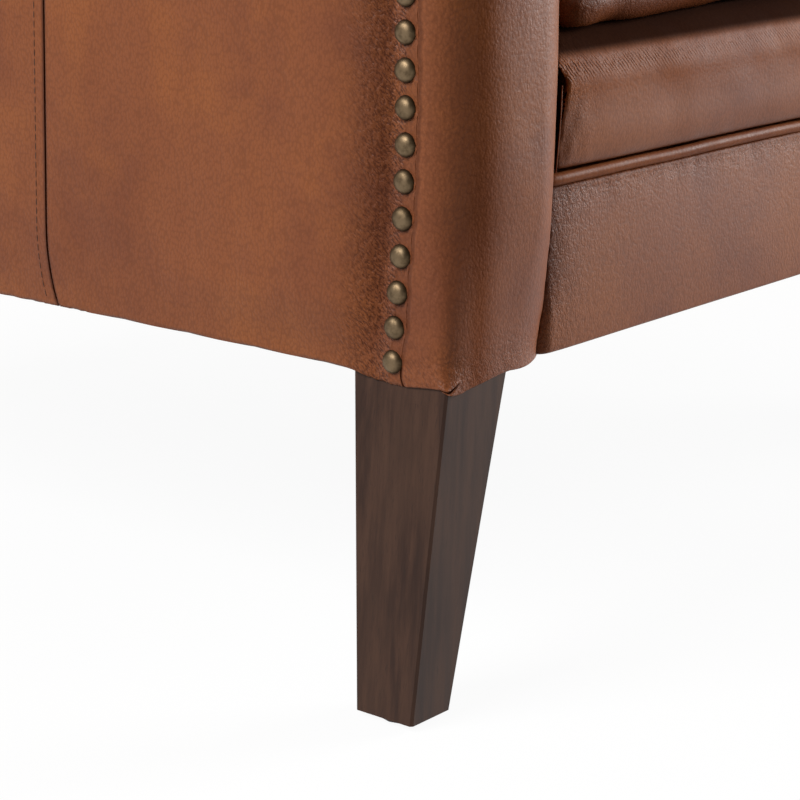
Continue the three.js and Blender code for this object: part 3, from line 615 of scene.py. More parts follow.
@dataclass(frozen=True)
class StainedBeech:
    """Beech with a dark spirit stain and a satin lacquer: short flecks along a dim grain."""

    name: str = "espresso_stained_beech"
    dark: str = "#301C13"
    light: str = "#493125"

    def make(self) -> bpy.types.Material:
        """The material. The stain gathers in the pores as fine upright streaks."""
        sheet = Sheet(self.name)
        along = sheet.scaled((1, 1, 0.06))
        grain = sheet.noise(along, 5, 4, 0.6)
        pores = sheet.noise(sheet.scaled((1, 1, 0.09)), 0.7, 2, 0.6)
        clouds = sheet.noise(sheet.scaled((1, 1, 0.4)), 30, 3, 0.5)
        tone = sheet.blend(sheet.between(grain, 0.3, 0.7), linear(self.dark), linear(self.light))
        tone = sheet.blend(sheet.between(clouds, 0.4, 0.7, 0, 0.45), tone, linear("#4E3629"))
        tone = sheet.blend(sheet.between(pores, 0.55, 0.75, 0, 0.5), tone, linear("#2A1D17"))
        rough = sheet.between(grain, 0.3, 0.7, 0.42, 0.5)
        return sheet.finish({
            "Base Color": tone, "Roughness": rough, "Specular IOR Level": 0.24,
            "Normal": sheet.bump(pores, 0.05, 0.35),
        })


@dataclass(frozen=True)
class AntiqueBrass:
    """Pressed brass with an antique lacquer: a satin dome, its rim darkened olive by tarnish and by painted
    shade.
    """

    name: str = "antique_brass"
    metal: str = "#7B6850"
    tarnish: str = "#2E2214"

    def make(self) -> bpy.types.Material:
        """The material. Tarnish lies in clouds and dulls the gloss."""
        sheet = Sheet(self.name)
        clouds = sheet.noise(sheet.place, 4, 3, 0.6)
        rim = sheet.kept("rim")
        cloudy = sheet.between(clouds, 0.4, 0.75, 0, 0.55)
        tone = sheet.blend(cloudy, linear(self.metal), linear(self.tarnish))
        # The rim takes the tarnish colour: partly tarnish, partly painted shade where the dome turns down to
        # the leather.
        tone = sheet.blend(rim, tone, linear(self.tarnish))
        rough = sheet.between(clouds, 0.3, 0.8, 0.46, 0.54)
        return sheet.finish({
            "Base Color": tone, "Roughness": rough, "Metallic": 1.0,
            "Normal": sheet.bump(sheet.noise(sheet.place, 1.1, 2), 0.04, 0.3),
        })


@dataclass(frozen=True)
class Plain:
    """A finish with one grain: timber, steel, cloth or plastic."""

    name: str
    first: str
    second: str
    stretch: tuple[float, float, float]
    blotch: float
    rough: float
    metallic: float = 0.0
    relief: float = 0.1
    weave: float = 0.0

    def make(self) -> bpy.types.Material:
        """The material. Its grain runs along the axis that is scaled down."""
        sheet = Sheet(self.name)
        grain = sheet.noise(sheet.scaled(self.stretch), self.blotch, 4, 0.6)
        height = grain
        tone = sheet.blend(sheet.between(grain, 0.3, 0.7), linear(self.first), linear(self.second))
        if self.weave:
            links = {"Vector": sheet.place, "Scale": WAVE_SCALE / self.weave, "Distortion": 0.4}
            threads = [
                sheet.add("TexWave", links, wave_type="BANDS", bands_direction=axis).outputs["Fac"]
                for axis in ("X", "Y", "Z")
            ]
            height = sheet.math("ADD", sheet.math("ADD", threads[0], threads[1]), threads[2])
            tone = sheet.blend(sheet.between(height, 1.0, 2.2, 0.35, 0), tone, linear(self.second))
        rough = sheet.between(grain, 0.3, 0.7, self.rough - 0.05, self.rough + 0.05)
        return sheet.finish({
            "Base Color": tone, "Roughness": rough, "Metallic": self.metallic,
            "Normal": sheet.bump(height, self.relief, 0.5),
        })


class Finishes:
    """Every finish of the chair, made once."""

    def __init__(self) -> None:
        self.leather = Cowhide().make()
        self.wood = StainedBeech().make()
        self.brass = AntiqueBrass().make()
        # sawn poplar: pale, with soft streaks along the board
        self.timber = Plain("sawn_poplar", "#C9A878", "#A98555", (1, 1, 0.08), 9, 0.7).make()
        # zinc-plated steel: grey and faintly clouded
        self.steel = Plain("zinc_plated_steel", "#8A8D90", "#6B6E71", (1, 1, 1), 6, 0.4, 1.0, 0.02).make()
        # needled felt: matt and fibrous
        self.felt = Plain("needled_felt", "#A7A196", "#87827A", (1, 1, 1), 3, 0.95, 0.0, 0.5).make()
        # black jute webbing: a plain open weave
        self.webbing = Plain("jute_webbing", "#3A332B", "#241F1B", (1, 1, 1), 4, 0.9, 0.0, 0.4, 2.0).make()
        # spun black cambric: a matt non-woven with a pressed grain
        self.cambric = Plain("black_cambric", "#201F21", "#2C2B2D", (1, 1, 1), 2, 0.9, 0.0, 0.2, 1.2).make()
        # tan deck cloth: a tight twill
        self.deck_cloth = Plain("deck_twill", "#7E5A44", "#6A4937", (1, 1, 1), 6, 0.85, 0.0, 0.3, 1.6).make()
        # moulded nylon: dark and faintly glossy
        self.nylon = Plain("moulded_nylon", "#2C2926", "#242120", (1, 1, 1), 3, 0.45, 0.0, 0.05).make()
        # bonded polyester thread: dark brown and a little glossy
        self.thread = Plain("polyester_thread", "#4C2B17", "#381F0F", (1, 1, 1), 1, 0.5, 0.0, 0.05).make()


# Leather panels on boards


def patch(
    bottom: np.ndarray, top: np.ndarray, front: np.ndarray, rear: np.ndarray,
    across: np.ndarray, up: np.ndarray,
) -> np.ndarray:
    """Points spread between four edges.

    Args:
        bottom: the lower edge, from front to rear, as flat points.
        top: the upper edge, from front to rear.
        front: the front edge, from bottom to top.
        rear: the rear edge, from bottom to top.
        across: shares from front to rear.
        up: shares from bottom to top.

    Returns:
        Rows by columns by 2.
    """
    b, t = Line(bottom).at(across)[None], Line(top).at(across)[None]
    f, r = Line(front).at(up)[:, None], Line(rear).at(up)[:, None]
    u, v = across[None, :, None], up[:, None, None]
    corners = (1 - v) * ((1 - u) * b[:, :1] + u * b[:, -1:]) + v * ((1 - u) * t[:, :1] + u * t[:, -1:])
    return (1 - v) * b + v * t + (1 - u) * f + u * r - corners


def nail_places(side: Side) -> np.ndarray:
    """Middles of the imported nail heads, as y and z in the chair's frame."""
    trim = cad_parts[f"nail_trim_{side.value}"]
    places = places_of(trim) * 1000
    reach = np.abs(places[:, 0])
    peaks = np.unique(places[reach > reach.max() - 0.05][:, 1:].round(2), axis=0)
    gaps = np.linalg.norm(peaks[:, None] - peaks[None], axis=2) + np.eye(len(peaks)) * 99
    middles = (peaks + peaks[gaps.argmin(1)]) / 2
    places = np.unique(middles.round(1), axis=0) - (CHAIR.front_line, 0)
    heights, lifts = [169, 186, 202, 218, 235, 252], [-1.4, -1.8, -1.7, -1.2, -0.5, 0]
    places[:, 1] += np.interp(places[:, 1], heights, lifts)
    return places


@dataclass
class NailedLeather:
    """How leather lies along a row of nails: flat under the heads, then up over its padding."""

    nails: np.ndarray
    seam: Line
    inset: float = 7.2
    puff: float = 5.2
    climb: float = 12.0

    def behind(self, flat: np.ndarray) -> np.ndarray:
        """Distance behind the row of nails."""
        return self.seam.distance(flat) - self.inset

    def relief(self, flat: np.ndarray) -> np.ndarray:
        """Height of the leather over the board's face, in millimetres."""
        behind = np.maximum(self.behind(flat) - 3.0, 0)
        height = self.puff * (1 - np.exp(-((behind / self.climb) ** 1.7)))
        height *= 1 - 0.85 * smooth((behind - 35) / 130)
        near = np.full(len(flat), np.inf)
        angle = np.zeros(len(flat))
        for nail in self.nails:
            apart = flat - nail
            gap = np.hypot(*apart.T)
            closer = gap < near
            near[closer] = gap[closer]
            angle[closer] = np.arctan2(apart[closer, 1], apart[closer, 0])
        height -= 0.9 * bell(near, 7.5)
        low_left = smooth((np.sin(angle + 0.75) * -1 + 0.2) / 0.8)
        fold = np.sin(angle * 12 + flat[:, 1] * 0.7) * bell(near, 1.3, 6.6) * low_left * 1.8
        held = bell(behind, 15) * smooth(behind / 4)
        spots = np.column_stack([flat * (1, 0.8), np.zeros(len(flat))])
        height += 0.16 * fold
        height += held * (0.3 * ripple(spots, 3.4, 5) + 0.35 * ripple(spots, 8, 6))
        return height

    def slack(self, flat: np.ndarray) -> np.ndarray:
        """Where the grain opens: most beside the nails."""
        behind = self.behind(flat)
        return np.where(behind > -1, bell(np.maximum(behind - 4, 0), 22), 0.25)


@dataclass
class SidePanel:
    """A leather panel on a board on the outside of a side."""

    name: str
    node: str
    bottom: np.ndarray
    top: np.ndarray
    front: np.ndarray
    rear: np.ndarray
    across: np.ndarray
    up: np.ndarray
    nailed: NailedLeather
    front_roll: float = 0.4
    rear_roll: float = 0.9
    bottom_roll: float = 1.8
    top_roll: float = 1.2
    sewn_roll: float = 0.9
    swell: float = 1.0

    def build(self) -> bpy.types.Object:
        """The panel for the sitter's right side."""
        flat = patch(self.bottom, self.top, self.front, self.rear, self.across, self.up)
        shape = flat.shape[:2]
        flat = flat.reshape(-1, 2)
        edges = [
            (Line(self.front).distance(flat), self.front_roll),
            (Line(self.rear).distance(flat), self.rear_roll),
            (Line(self.bottom).distance(flat), self.bottom_roll),
            (Line(self.top).distance(flat), self.top_roll),
        ]
        height = self.nailed.relief(flat)
        spots = np.column_stack([flat, np.zeros(len(flat))])
        inner = smooth(np.minimum.reduce([d for d, _ in edges]) / 40)
        height += self.swell * inner * (0.7 * ripple(spots, 70, 11) + 0.3 * ripple(spots, 28, 12))
        for distance, radius in edges[1:3]:
            if radius != self.sewn_roll:
                height *= 0.15 + 0.85 * smooth(distance / 34)
        for distance, radius in edges:
            height -= roll(distance, radius)
        slack = self.nailed.slack(flat)
        hem_places = [26, 36, 40, 44, 48, 52, 56, 60, 90]
        hem_heights = [158.2, 158.1, 158.5, 159.2, 159.9, 160.8, 161.5, 161.8, 162.2]
        hem = np.interp(flat[:, 0], hem_places, hem_heights) - CHAIR.base - 0.5
        flat[:, 1] += hem * smooth((190 - flat[:, 1]) / 26)
        points = np.column_stack([-height, flat])
        piece = net(self.name, CHAIR.place(points).reshape(*shape, 3))
        # Painted shade along the sewn edges and the bottom edge, in the valley beside the nails and on the
        # strip in front of them.
        sewn = [bell(d, 1.1) for d, radius in edges[:2] if radius == self.sewn_roll]
        valley = 0.5 * slack * smooth((self.nailed.behind(flat) - 4) / 4)
        shade = np.maximum.reduce([
            *sewn, 0.4 * bell(edges[2][0], 0.8),
            valley * (0.15 + 0.85 * smooth((flat[:, 1] - 168) / 65)),
            0.2 * smooth((3 - self.nailed.behind(flat)) / 4),
        ])
        mark(piece, "dull", valley)
        mark(piece, "slack", slack)
        mark(piece, "shade", shade)
        level = (CHAIR.outer_face + CHAIR.panel - 0.2) / 1000
        back_up(piece, lambda places: np.column_stack([np.full(len(places), level), places[:, 1:]]))
        soften(piece, 50)
        return piece


@dataclass(frozen=True)
class OutsideLeather:
    """The outside of a side: two sewn arm pieces and the wing panel over them."""

    nails: np.ndarray = field(default_factory=lambda: nail_places(Side.RIGHT))
    base: float = CHAIR.base + 0.5
    arc_points: int = 12
    wing_outward: float = 9.7
    wing_front_share: float = 0.72

    def column_edge(self, inset: float) -> np.ndarray:
        """The panel's edge beside the column, with the swing and hook at its foot."""
        line = CHAIR.column_seam_line(inset)
        line[:, 0] += foot_swing(line[:, 1])
        return line

    def front_arm(self) -> bpy.types.Object:
        """The front piece of the outside arm."""
        edge = Line(self.column_edge(CHAIR.touch))
        split = len(edge.points) - self.arc_points
        front, arc = edge.points[:split], edge.points[split - 1:]
        rear = CHAIR.piece_seam_line(-0.4)
        top = np.vstack([arc, [[rear[-1][0], CHAIR.panel_top]]])
        bottom = np.array([[front[0][0], self.base], [rear[0][0], self.base]])
        seam = Line(np.vstack([edge.points, [[rear[-1][0], CHAIR.panel_top]]]))
        return SidePanel(
            "outside_arm_front_right", "outside_arm_front_panel_right", bottom, top, front, rear,
            spread(232, 0.2, 3.0, 0.2, 1.13), spread(431, 0.6, 1.5, 0.3, 1.2),
            NailedLeather(self.nails, seam),
        ).build()

    def rear_arm(self) -> bpy.types.Object:
        """The rear piece of the outside arm."""
        front = CHAIR.piece_seam_line(0.4)
        z = np.array([self.base, CHAIR.panel_top])
        rear = np.stack([CHAIR.outside_back(z) - CHAIR.panel - CHAIR.touch, z], axis=1)
        top, bottom = np.array([front[-1], rear[1]]), np.array([front[0], rear[0]])
        seam = Line(np.array([[0, CHAIR.panel_top], [CHAIR.wing_front, CHAIR.panel_top]]))
        return SidePanel(
            "outside_arm_rear_right", "outside_arm_rear_panel_right", bottom, top, front, rear,
            spread(450, 0.25, 3.4, 1.0, 1.2), spread(431, 0.6, 3.0, 0.25, 1.15),
            NailedLeather(self.nails, seam), front_roll=0.9, rear_roll=3.0,
        ).build()

    def wing(self) -> bpy.types.Object:
        """The outside wing."""
        path = CHAIR.wing_path(self.wing_outward)
        low = CHAIR.panel_top + CHAIR.touch
        start = [np.interp(low, path[:60, 1], path[:60, 0]), low]
        edge = np.vstack([[start], path[path[:, 1] > low]])
        split = int(len(edge) * self.wing_front_share)
        front, top = edge[:split], edge[split - 1:]
        z = np.array([low, edge[-1][1]])
        rear = np.stack([CHAIR.outside_back(z) - CHAIR.panel - CHAIR.touch, z], axis=1)
        rear[-1] = edge[-1]
        bottom = np.array([edge[0], rear[0]])
        return SidePanel(
            "outside_wing_right", "outside_wing_panel_right", bottom, top, front, rear,
            spread(330, 0.25, 3.0, 1.0, 1.15), spread(380, 0.25, 2.4, 0.25, 1.15),
            NailedLeather(self.nails, Line(edge)), rear_roll=3.0, bottom_roll=1.5,
        ).build()

    def build(self) -> list[tuple[bpy.types.Object, str]]:
        """The three panels of the right side, with the nodes that they replace."""
        return [
            (self.front_arm(), "outside_arm_front_panel_right"),
            (self.rear_arm(), "outside_arm_rear_panel_right"),
            (self.wing(), "outside_wing_panel_right"),
        ]


def foot_swing(z: np.ndarray) -> np.ndarray:
    """How far behind its plain line the column seam lies.

    Near the foot it swings back and then hooks forward, and higher up each nail draws it in.
    """
    swing = 2.6 * smooth((187 - z) / 21) - 3.2 * smooth((165 - z) / 7)
    swing = swing + 1.2 * smooth((z - 187) / 22) * smooth((292 - z) / 40)
    nails = nail_places(Side.RIGHT)
    nails = nails[nails[:, 0] < 45, 1]
    near = np.abs(np.asarray(z)[..., None] - nails).min(-1)
    drawn = 0.75 * (bell(near, 4.5) - 0.45)
    return swing - drawn * smooth((z - 168) / 12) * smooth((570 - z) / 12)


# Padded bands


def crown_section(
    width: float, flank: float, rise: float, seam: float,
    peak: float = 0.5, outer: float = 2.55, inner: float = 2.55,
) -> np.ndarray:
    """The outline of a padded band, from its seam over the crown and down its inner flank.

    Args:
        width: across the arm or wing.
        flank: height of the straight flank.
        rise: height of the crown over the pad's back.
        seam: height of the seam on the outer flank.
        peak: share of the width at which the crown is highest.
        outer: how square the outer shoulder is, as a power.
        inner: how square the inner shoulder is.

    Returns:
        Points of depth and height.
    """
    turn = np.linspace(math.pi, 0, 480)
    left = turn > math.pi / 2
    power = np.where(left, 2 / outer, 2 / inner)
    half = np.where(left, peak, 1 - peak) * width
    across = peak * width + half * np.sign(np.cos(turn)) * np.abs(np.cos(turn)) ** power
    crown = np.stack([across, flank + (rise - flank) * np.abs(np.sin(turn)) ** power], 1)
    crown = crown[(crown[:, 1] > seam + 3.4) | (crown[:, 0] > width / 2)]
    at = crown[0, 0]
    dive = np.array([
        [9.6, seam - 2], [3.4, seam - 1.8], [1.0, seam - 1.3], [0.44, seam - 0.5], [0.28, seam + 0.3],
        [0.2 + at * 0.4, seam + 1.4], [0.07 + at * 0.8, seam + 2.5],
    ])
    foot = np.array([[width, 1.5], [width - 0.3, 0.7], [width - 1.0, 0.2], [width - 2.5, 0.05]])
    return np.vstack([dive, crown, foot])


@dataclass
class Band:
    """A padded band that follows a side-view path up or along a side."""

    name: str
    path: np.ndarray
    outward: np.ndarray
    widths: np.ndarray
    flanks: np.ndarray
    rises: np.ndarray
    seams: np.ndarray
    around: np.ndarray
    insets: Optional[np.ndarray] = None
    shapes: Optional[np.ndarray] = None

    def points(self) -> np.ndarray:
        """The band's net in the chair's frame: one row for each place on the path."""
        rows = []
        for i, (at, out) in enumerate(zip(self.path, self.outward)):
            shape = () if self.shapes is None else self.shapes[i]
            section = crown_section(self.widths[i], self.flanks[i], self.rises[i], self.seams[i], *shape)
            ring = Line(section).at(self.around)
            if self.insets is not None and self.insets[i] > 0:
                along = np.gradient(ring, axis=0)
                along /= np.maximum(np.linalg.norm(along, axis=1)[:, None], 1e-9)
                ring = ring + np.stack([along[:, 1], -along[:, 0]], axis=1) * self.insets[i]
            y, z = at[0] + out[0] * ring[:, 1], at[1] + out[1] * ring[:, 1]
            rows.append(np.column_stack([ring[:, 0], y, z]))
        return np.array(rows)


@dataclass(frozen=True)
class ArmAndWingBands:
    """The padded front and top of an arm, and the padded edge of a wing."""

    flank: float = 7.7
    arm_rises: tuple[float, float] = (41.0, 36.0)
    wing_flank: float = 4.0
    wing_rise: float = 27.7
    wing_seam: float = 10.0

    def hem_height(self, round_corner: np.ndarray) -> np.ndarray:
        """Height of the column's lower edge, which hangs over the leg's front corner.

        Args:
            round_corner: depth less y, which grows along the edge from the seam to the inner flank.
        """
        places = [
            -24.5, -22, -19, -16.8, -14.5, -12, -8, -5.2, -4.2, -2.5, 0, 2.6, 5.3, 8.1, 10.8, 13.7, 16.6,
            19.5, 22.5, 28.5, 35, 39, 45, 50, 54, 58, 61, 64, 70,
        ]
        heights = [
            158.0, 158.4, 158.6, 159.0, 159.2, 159.5, 159.8, 160.0, 159.5, 158.7, 157.9, 157.4, 157.1, 157.1,
            157.3, 157.9, 158.2, 158.5, 158.8, 159.4, 160.2, 160.6, 160.9, 160.4, 160.0, 159.8, 159.8, 160.0,
            160.4,
        ]
        return np.interp(round_corner, places, heights)

    def flanks(self, z: np.ndarray) -> np.ndarray:
        """Height of the straight flank of the column's section."""
        return np.minimum(self.flank, CHAIR.seam(z) - foot_swing(z))

    def column_shape(self, z: np.ndarray, along_arm: np.ndarray) -> np.ndarray:
        """Peak and shoulders of the column's crown, square at the foot, where the leg's corner is.

        Args:
            z: heights.
            along_arm: 0 on the column, 1 where it has turned over to the arm top.

        Returns:
            Rows of peak, outer and inner power.
        """
        up = smooth((z - 165) / 70)
        peak = mix(0.5, 0.667, up)
        outer = mix(np.interp(z, [161.6, 164, 167, 172], [26, 13, 8, 6]), 2.7, up)
        levels = [160, 165, 175, 190, 210, 230, 250, 270, 290, 310]
        inner = np.interp(z, levels, [1.88, 1.95, 2.04, 2.11, 1.98, 1.82, 1.81, 1.89, 1.97, 2.0])
        even = np.array([0.5, CHAIR.round_power, CHAIR.round_power])
        return mix(np.stack([peak, outer, inner], 1), even, smooth(along_arm)[:, None])

    def column(self) -> bpy.types.Object:
        """The padded front of an arm, with the pleat at its foot."""
        hem = np.array([
            [3.2, 1.7], [1.2, 1.5], [0.35, 1.25], [0.05, 0.8], [0.1, 0.35], [0.4, 0.08], [0.8, 0],
        ])
        base = CHAIR.base
        z = np.concatenate([
            base + hem[:, 0], np.arange(base + 1.05, 164, 0.2), np.arange(164.1, 168, 0.4),
            np.arange(168.2, 186, 0.6), np.arange(186.4, 216, 1.1),
            np.arange(217, CHAIR.turn_height, 2.2), [CHAIR.turn_height],
        ])
        centre = np.array([CHAIR.column_base + CHAIR.column_corner, CHAIR.turn_height])
        level_steps = 18
        arc = np.linspace(0, math.pi / 2, 22)[1:]
        path = np.vstack([
            np.stack([np.full(len(z), CHAIR.column_base), z], 1),
            centre + np.stack([-np.cos(arc), np.sin(arc)], 1) * CHAIR.column_corner,
            np.stack([np.linspace(37, 90, level_steps), np.full(level_steps, CHAIR.arm_top)], 1),
        ])
        outward = np.vstack([
            np.tile([-1.0, 0.0], (len(z), 1)), np.stack([-np.cos(arc), np.sin(arc)], 1),
            np.tile([0.0, 1.0], (level_steps, 1)),
        ])
        turned = np.concatenate([np.zeros(len(z)), arc / (math.pi / 2), np.ones(level_steps)])
        rises = mix(
            mix(CHAIR.column_rise, CHAIR.column_rise_at_base, CHAIR.tucked(path[:, 1])),
            self.arm_rises[0], turned,
        )
        level_seams = np.full(len(arc) + level_steps, CHAIR.column_seam)
        seams = np.concatenate([CHAIR.seam(z) - foot_swing(z), level_seams])
        insets = np.zeros(len(path))
        insets[:len(hem)] = hem[:, 1]
        around = np.concatenate([
            np.arange(0, 9, 1.6), np.arange(9, 15, 0.35), np.arange(15, 28, 0.8), np.arange(28, 47, 0.22),
            np.arange(47, 52, 0.6), np.arange(52, 158, 1.5), [158],
        ]) / 158
        band = Band(
            "arm_column_right", path, outward, np.full(len(path), CHAIR.arm_width),
            np.minimum(self.flank, seams), rises, seams, around, insets,
            self.column_shape(path[:, 1], turned),
        )
        points = band.points()
        shape = points.shape[:2]
        flat = points.reshape(-1, 3)
        corner = points[len(hem) - 1, :, 0] - points[len(hem) - 1, :, 1]
        first = corner.argmin()
        corner[:first] = corner[first]
        corner = np.tile(np.maximum.accumulate(corner), shape[0])
        sunk = smooth((187 - flat[:, 2]) / 26) * (flat[:, 2] < 200)
        flat[:, 2] += (self.hem_height(corner) - base) * sunk
        out = np.array([-0.45, -0.85])
        soft = 0.45 * ripple(flat * (1, 1, 0.6), 34, 21) + 0.2 * ripple(flat * (1, 1, 0.6), 14, 22)
        soft *= smooth((flat[:, 0] - 1) / 12) * smooth((flat[:, 2] - 159) / 20)
        relief, shade, fold = self.pleat(corner, flat[:, 2])
        flat[:, [0, 1]] += out * (soft + relief)[:, None]
        piece = net(band.name, CHAIR.place(flat).reshape(*shape, 3))
        upright = np.repeat(turned, shape[1]) < 0.01
        # Painted shade in the seam, on the turned hem and in a band down the column's front corner; painted
        # shadow in the seam's hook at the foot and in the pleat's fold.
        past_seam = CHAIR.column_base - np.repeat(seams, shape[1]) - flat[:, 1]
        seam = smooth((2.6 - past_seam) / 1.6) * (flat[:, 0] < 2) * upright
        shaded_band = bell(flat[:, 0], 10, 21) * (flat[:, 1] < 12) * upright
        hook = smooth((1.3 - past_seam) / 0.7) * (flat[:, 0] < 2) * upright * smooth((171 - flat[:, 2]) / 5)
        hemmed = np.repeat(np.append(hem[:, 1], np.zeros(len(path) - len(hem))) > 0.3, shape[1])
        front = smooth((flat[:, 0] - 24) / 12) * smooth((flat[:, 2] - 170) / 24)
        mark(piece, "slack", 0.3 * smooth((185 - flat[:, 2]) / 20) + 0.15)
        shade = np.maximum.reduce([shade, 0.5 * seam, 0.22 * shaded_band, 0.7 * hemmed])
        mark(piece, "shade", np.clip(shade, 0, 1))
        mark(piece, "dull", 0.8 * shaded_band)
        mark(piece, "taut", 0.6 * front)
        mark(piece, "painted_shadow", np.clip(np.maximum(fold, 0.85 * hook), 0, 1))
        close_up(piece)
        soften(piece, 60)
        return piece

    def pleat(self, corner: np.ndarray, z: np.ndarray) -> tuple[np.ndarray, np.ndarray, np.ndarray]:
        """The crescent pleat where the column's hide is folded round the leg's corner.

        Args:
            corner: depth less y, which grows along the hem.
            z: heights.

        Returns:
            How far each place stands out, the painted shade in its creases and the painted shadow in its
            fold.
        """
        knots = np.array([
            [-4.6, 160.4], [-3.4, 160.1], [-0.8, 159.5], [1.5, 159.3], [4.2, 160.2], [7.4, 162.3],
        ])
        fold = Line(curve_through(knots, 80))
        near = (z < 172) & (np.abs(corner - 2) < 22)
        relief, dark, black = np.zeros(len(z)), np.zeros(len(z)), np.zeros(len(z))
        q, level = corner[near], z[near]
        away = fold.distance(np.stack([q, level], 1), 0.08)
        below = level < np.interp(q, *fold.points.T)
        taper = smooth((q + 6.4) / 2.4) * smooth((9.0 - q) / 2.4)
        thick = 0.24 + 0.42 * bell(q, 2.6, 2.6)
        signed = np.where(below, away, -away)
        bulge = 0.5 * bell(np.minimum(signed, 0), 2.2) * smooth((0.3 - signed) / 0.9)
        line = np.exp(-(((signed - 0.15) / thick) ** 4))
        groove = bell(signed, thick + 0.25, 0.15)
        creases = np.sin((q * 0.8 - (level - 157) * 0.6) * 2 * math.pi / 1.3)
        creases *= bell(q, 4.5, 12.5) * bell(level, 4.5, 160)
        lip = 0.3 * bell(signed, 0.7, 1.6)
        relief[near] = taper * (bulge + lip - 0.55 * groove) + 0.06 * creases
        # dark is painted shade in the groove and the crease troughs; black is painted shadow in the fold.
        dark[near] = 0.3 * taper * groove + 0.3 * np.maximum(-creases, 0)
        black[near] = np.minimum(2 * taper, 1) * line
        return relief, dark, black

    def arm_top(self) -> bpy.types.Object:
        """The pad along the arm top, run on under the wing's edge."""
        rolled = CHAIR.arm_top_start + np.array([0, 0.2, 0.6, 1.2, 2.2, 3.6])
        y = np.concatenate([rolled, np.arange(96.5, 440, 4.0)])
        count = len(y)
        path = np.stack([y, np.full(count, CHAIR.arm_top)], 1)
        rises = np.interp(y, [90, CHAIR.wing_front], self.arm_rises) - roll(y - CHAIR.arm_top_start, 2.2)
        band = Band(
            "arm_top_right", path, np.tile([0.0, 1.0], (count, 1)), np.full(count, CHAIR.arm_width),
            np.full(count, self.flank), rises, np.full(count, CHAIR.column_seam),
            spread(160, 0.25, 3.0, 1.5, 1.3),
        )
        points = band.points()
        shape = points.shape[:2]
        flat = points.reshape(-1, 3)
        lift = smooth((flat[:, 2] - 596) / 12)
        flat[:, 2] += lift * (1.1 * ripple(flat, 60, 31) + 0.5 * ripple(flat, 22, 32))
        piece = net(band.name, CHAIR.place(flat).reshape(*shape, 3))
        mark(piece, "slack", 0.2 + 0.3 * bell(flat[:, 1], 9, 92))
        # Painted shade along the seam with the column.
        mark(piece, "shade", 0.6 * bell(flat[:, 1], 1.2, CHAIR.arm_top_start))
        close_up(piece)
        soften(piece, 60)
        return piece

    def wing_edge(self) -> bpy.types.Object:
        """The rounded pad along a wing's front and top."""
        line = CHAIR.wing_path(0.3, 260)
        along = np.gradient(line, axis=0)
        along /= np.linalg.norm(along, axis=1)[:, None]
        outward = np.stack([-along[:, 1], along[:, 0]], 1)
        count = len(line)
        band = Band(
            "wing_edge_right", line, outward, CHAIR.wing_width(line[:, 1]), np.full(count, self.wing_flank),
            np.full(count, self.wing_rise), np.full(count, self.wing_seam),
            spread(120, 0.25, 2.6, 1.2, 1.3),
        )
        points = band.points()
        shape = points.shape[:2]
        flat = points.reshape(-1, 3)
        soft = (0.8 * ripple(flat, 48, 41) + 0.4 * ripple(flat, 18, 42)) * smooth((flat[:, 0] - 1) / 12)
        flat[:, 1:] += np.repeat(outward, shape[1], axis=0) * soft[:, None]
        piece = net(band.name, CHAIR.place(flat).reshape(*shape, 3))
        mark(piece, "slack", 0.25 + 0.25 * ripple(flat, 60, 43) ** 2)
        close_up(piece)
        soften(piece, 60)
        return piece


# Nails and stitches


@dataclass(frozen=True)
class NailRow:
    """Domed upholstery nails, driven until their rims press into the leather."""

    radius: float = 5.65
    rise: float = 3.3
    sunk: float = 0.45
    sides: int = 16
    ring_shares: tuple[float, ...] = (0.14, 0.24, 0.28)
    lean: float = 0.03

    def head(self) -> bpy.types.Object:
        """One head: a low dome with a turned-in rim, its back open against the leather."""
        alone()
        bpy.ops.mesh.primitive_circle_add(
            vertices=self.sides, radius=self.radius / 1000, fill_type="TRIFAN",
        )
        head = bpy.context.object
        bpy.ops.object.mode_set(mode="EDIT")
        bpy.ops.mesh.select_all(action="SELECT")
        for share in self.ring_shares:
            bpy.ops.mesh.inset(thickness=self.radius * share / 1000)
        bpy.ops.object.mode_set(mode="OBJECT")
        places = places_of(head) * 1000
        share = np.clip(np.hypot(places[:, 0], places[:, 1]) / self.radius, 0, 1)
        places[:, 2] = self.rise * np.sqrt(np.maximum(1 - share**2.3, 0))
        move_to(head, places / 1000)
        return head

    def row(self, name: str, side: Side) -> bpy.types.Object:
        """All the heads of one side, as one piece."""
        head = self.head()
        shape = places_of(head) * 1000
        faces = [tuple(p.vertices) for p in head.data.polygons]
        bpy.data.objects.remove(head)
        sign = -1 if side is Side.RIGHT else 1
        face = -sign * CHAIR.outer_face
        rng = np.random.default_rng(7)
        points, polygons, rims = [], [], []
        for y, z in nail_places(side):
            turn = rng.uniform(0, 2 * math.pi)
            lean = rng.normal(0, self.lean, 2)
            u = shape[:, 0] * math.cos(turn) - shape[:, 1] * math.sin(turn)
            v = shape[:, 0] * math.sin(turn) + shape[:, 1] * math.cos(turn)
            out = shape[:, 2] + u * lean[0] + v * lean[1] - self.sunk
            base = len(points) * len(shape)
            points.append(np.stack([face + sign * out, y + CHAIR.front_line + u * -sign, z + v], 1))
            polygons += [tuple(base + i for i in polygon) for polygon in faces]
            # The rim mark, strongest low on the dome: tarnish and painted shade.
            low = shape[:, 2] / self.rise
            rims.append(np.where(low < 0.35, 1.0, np.where(low < 0.7, 0.3, 0)))
        piece = of_points(name, points, polygons)
        mark(piece, "rim", np.concatenate(rims))
        close_up(piece)
        soften(piece, 60)
        return piece


# Stuffed pads


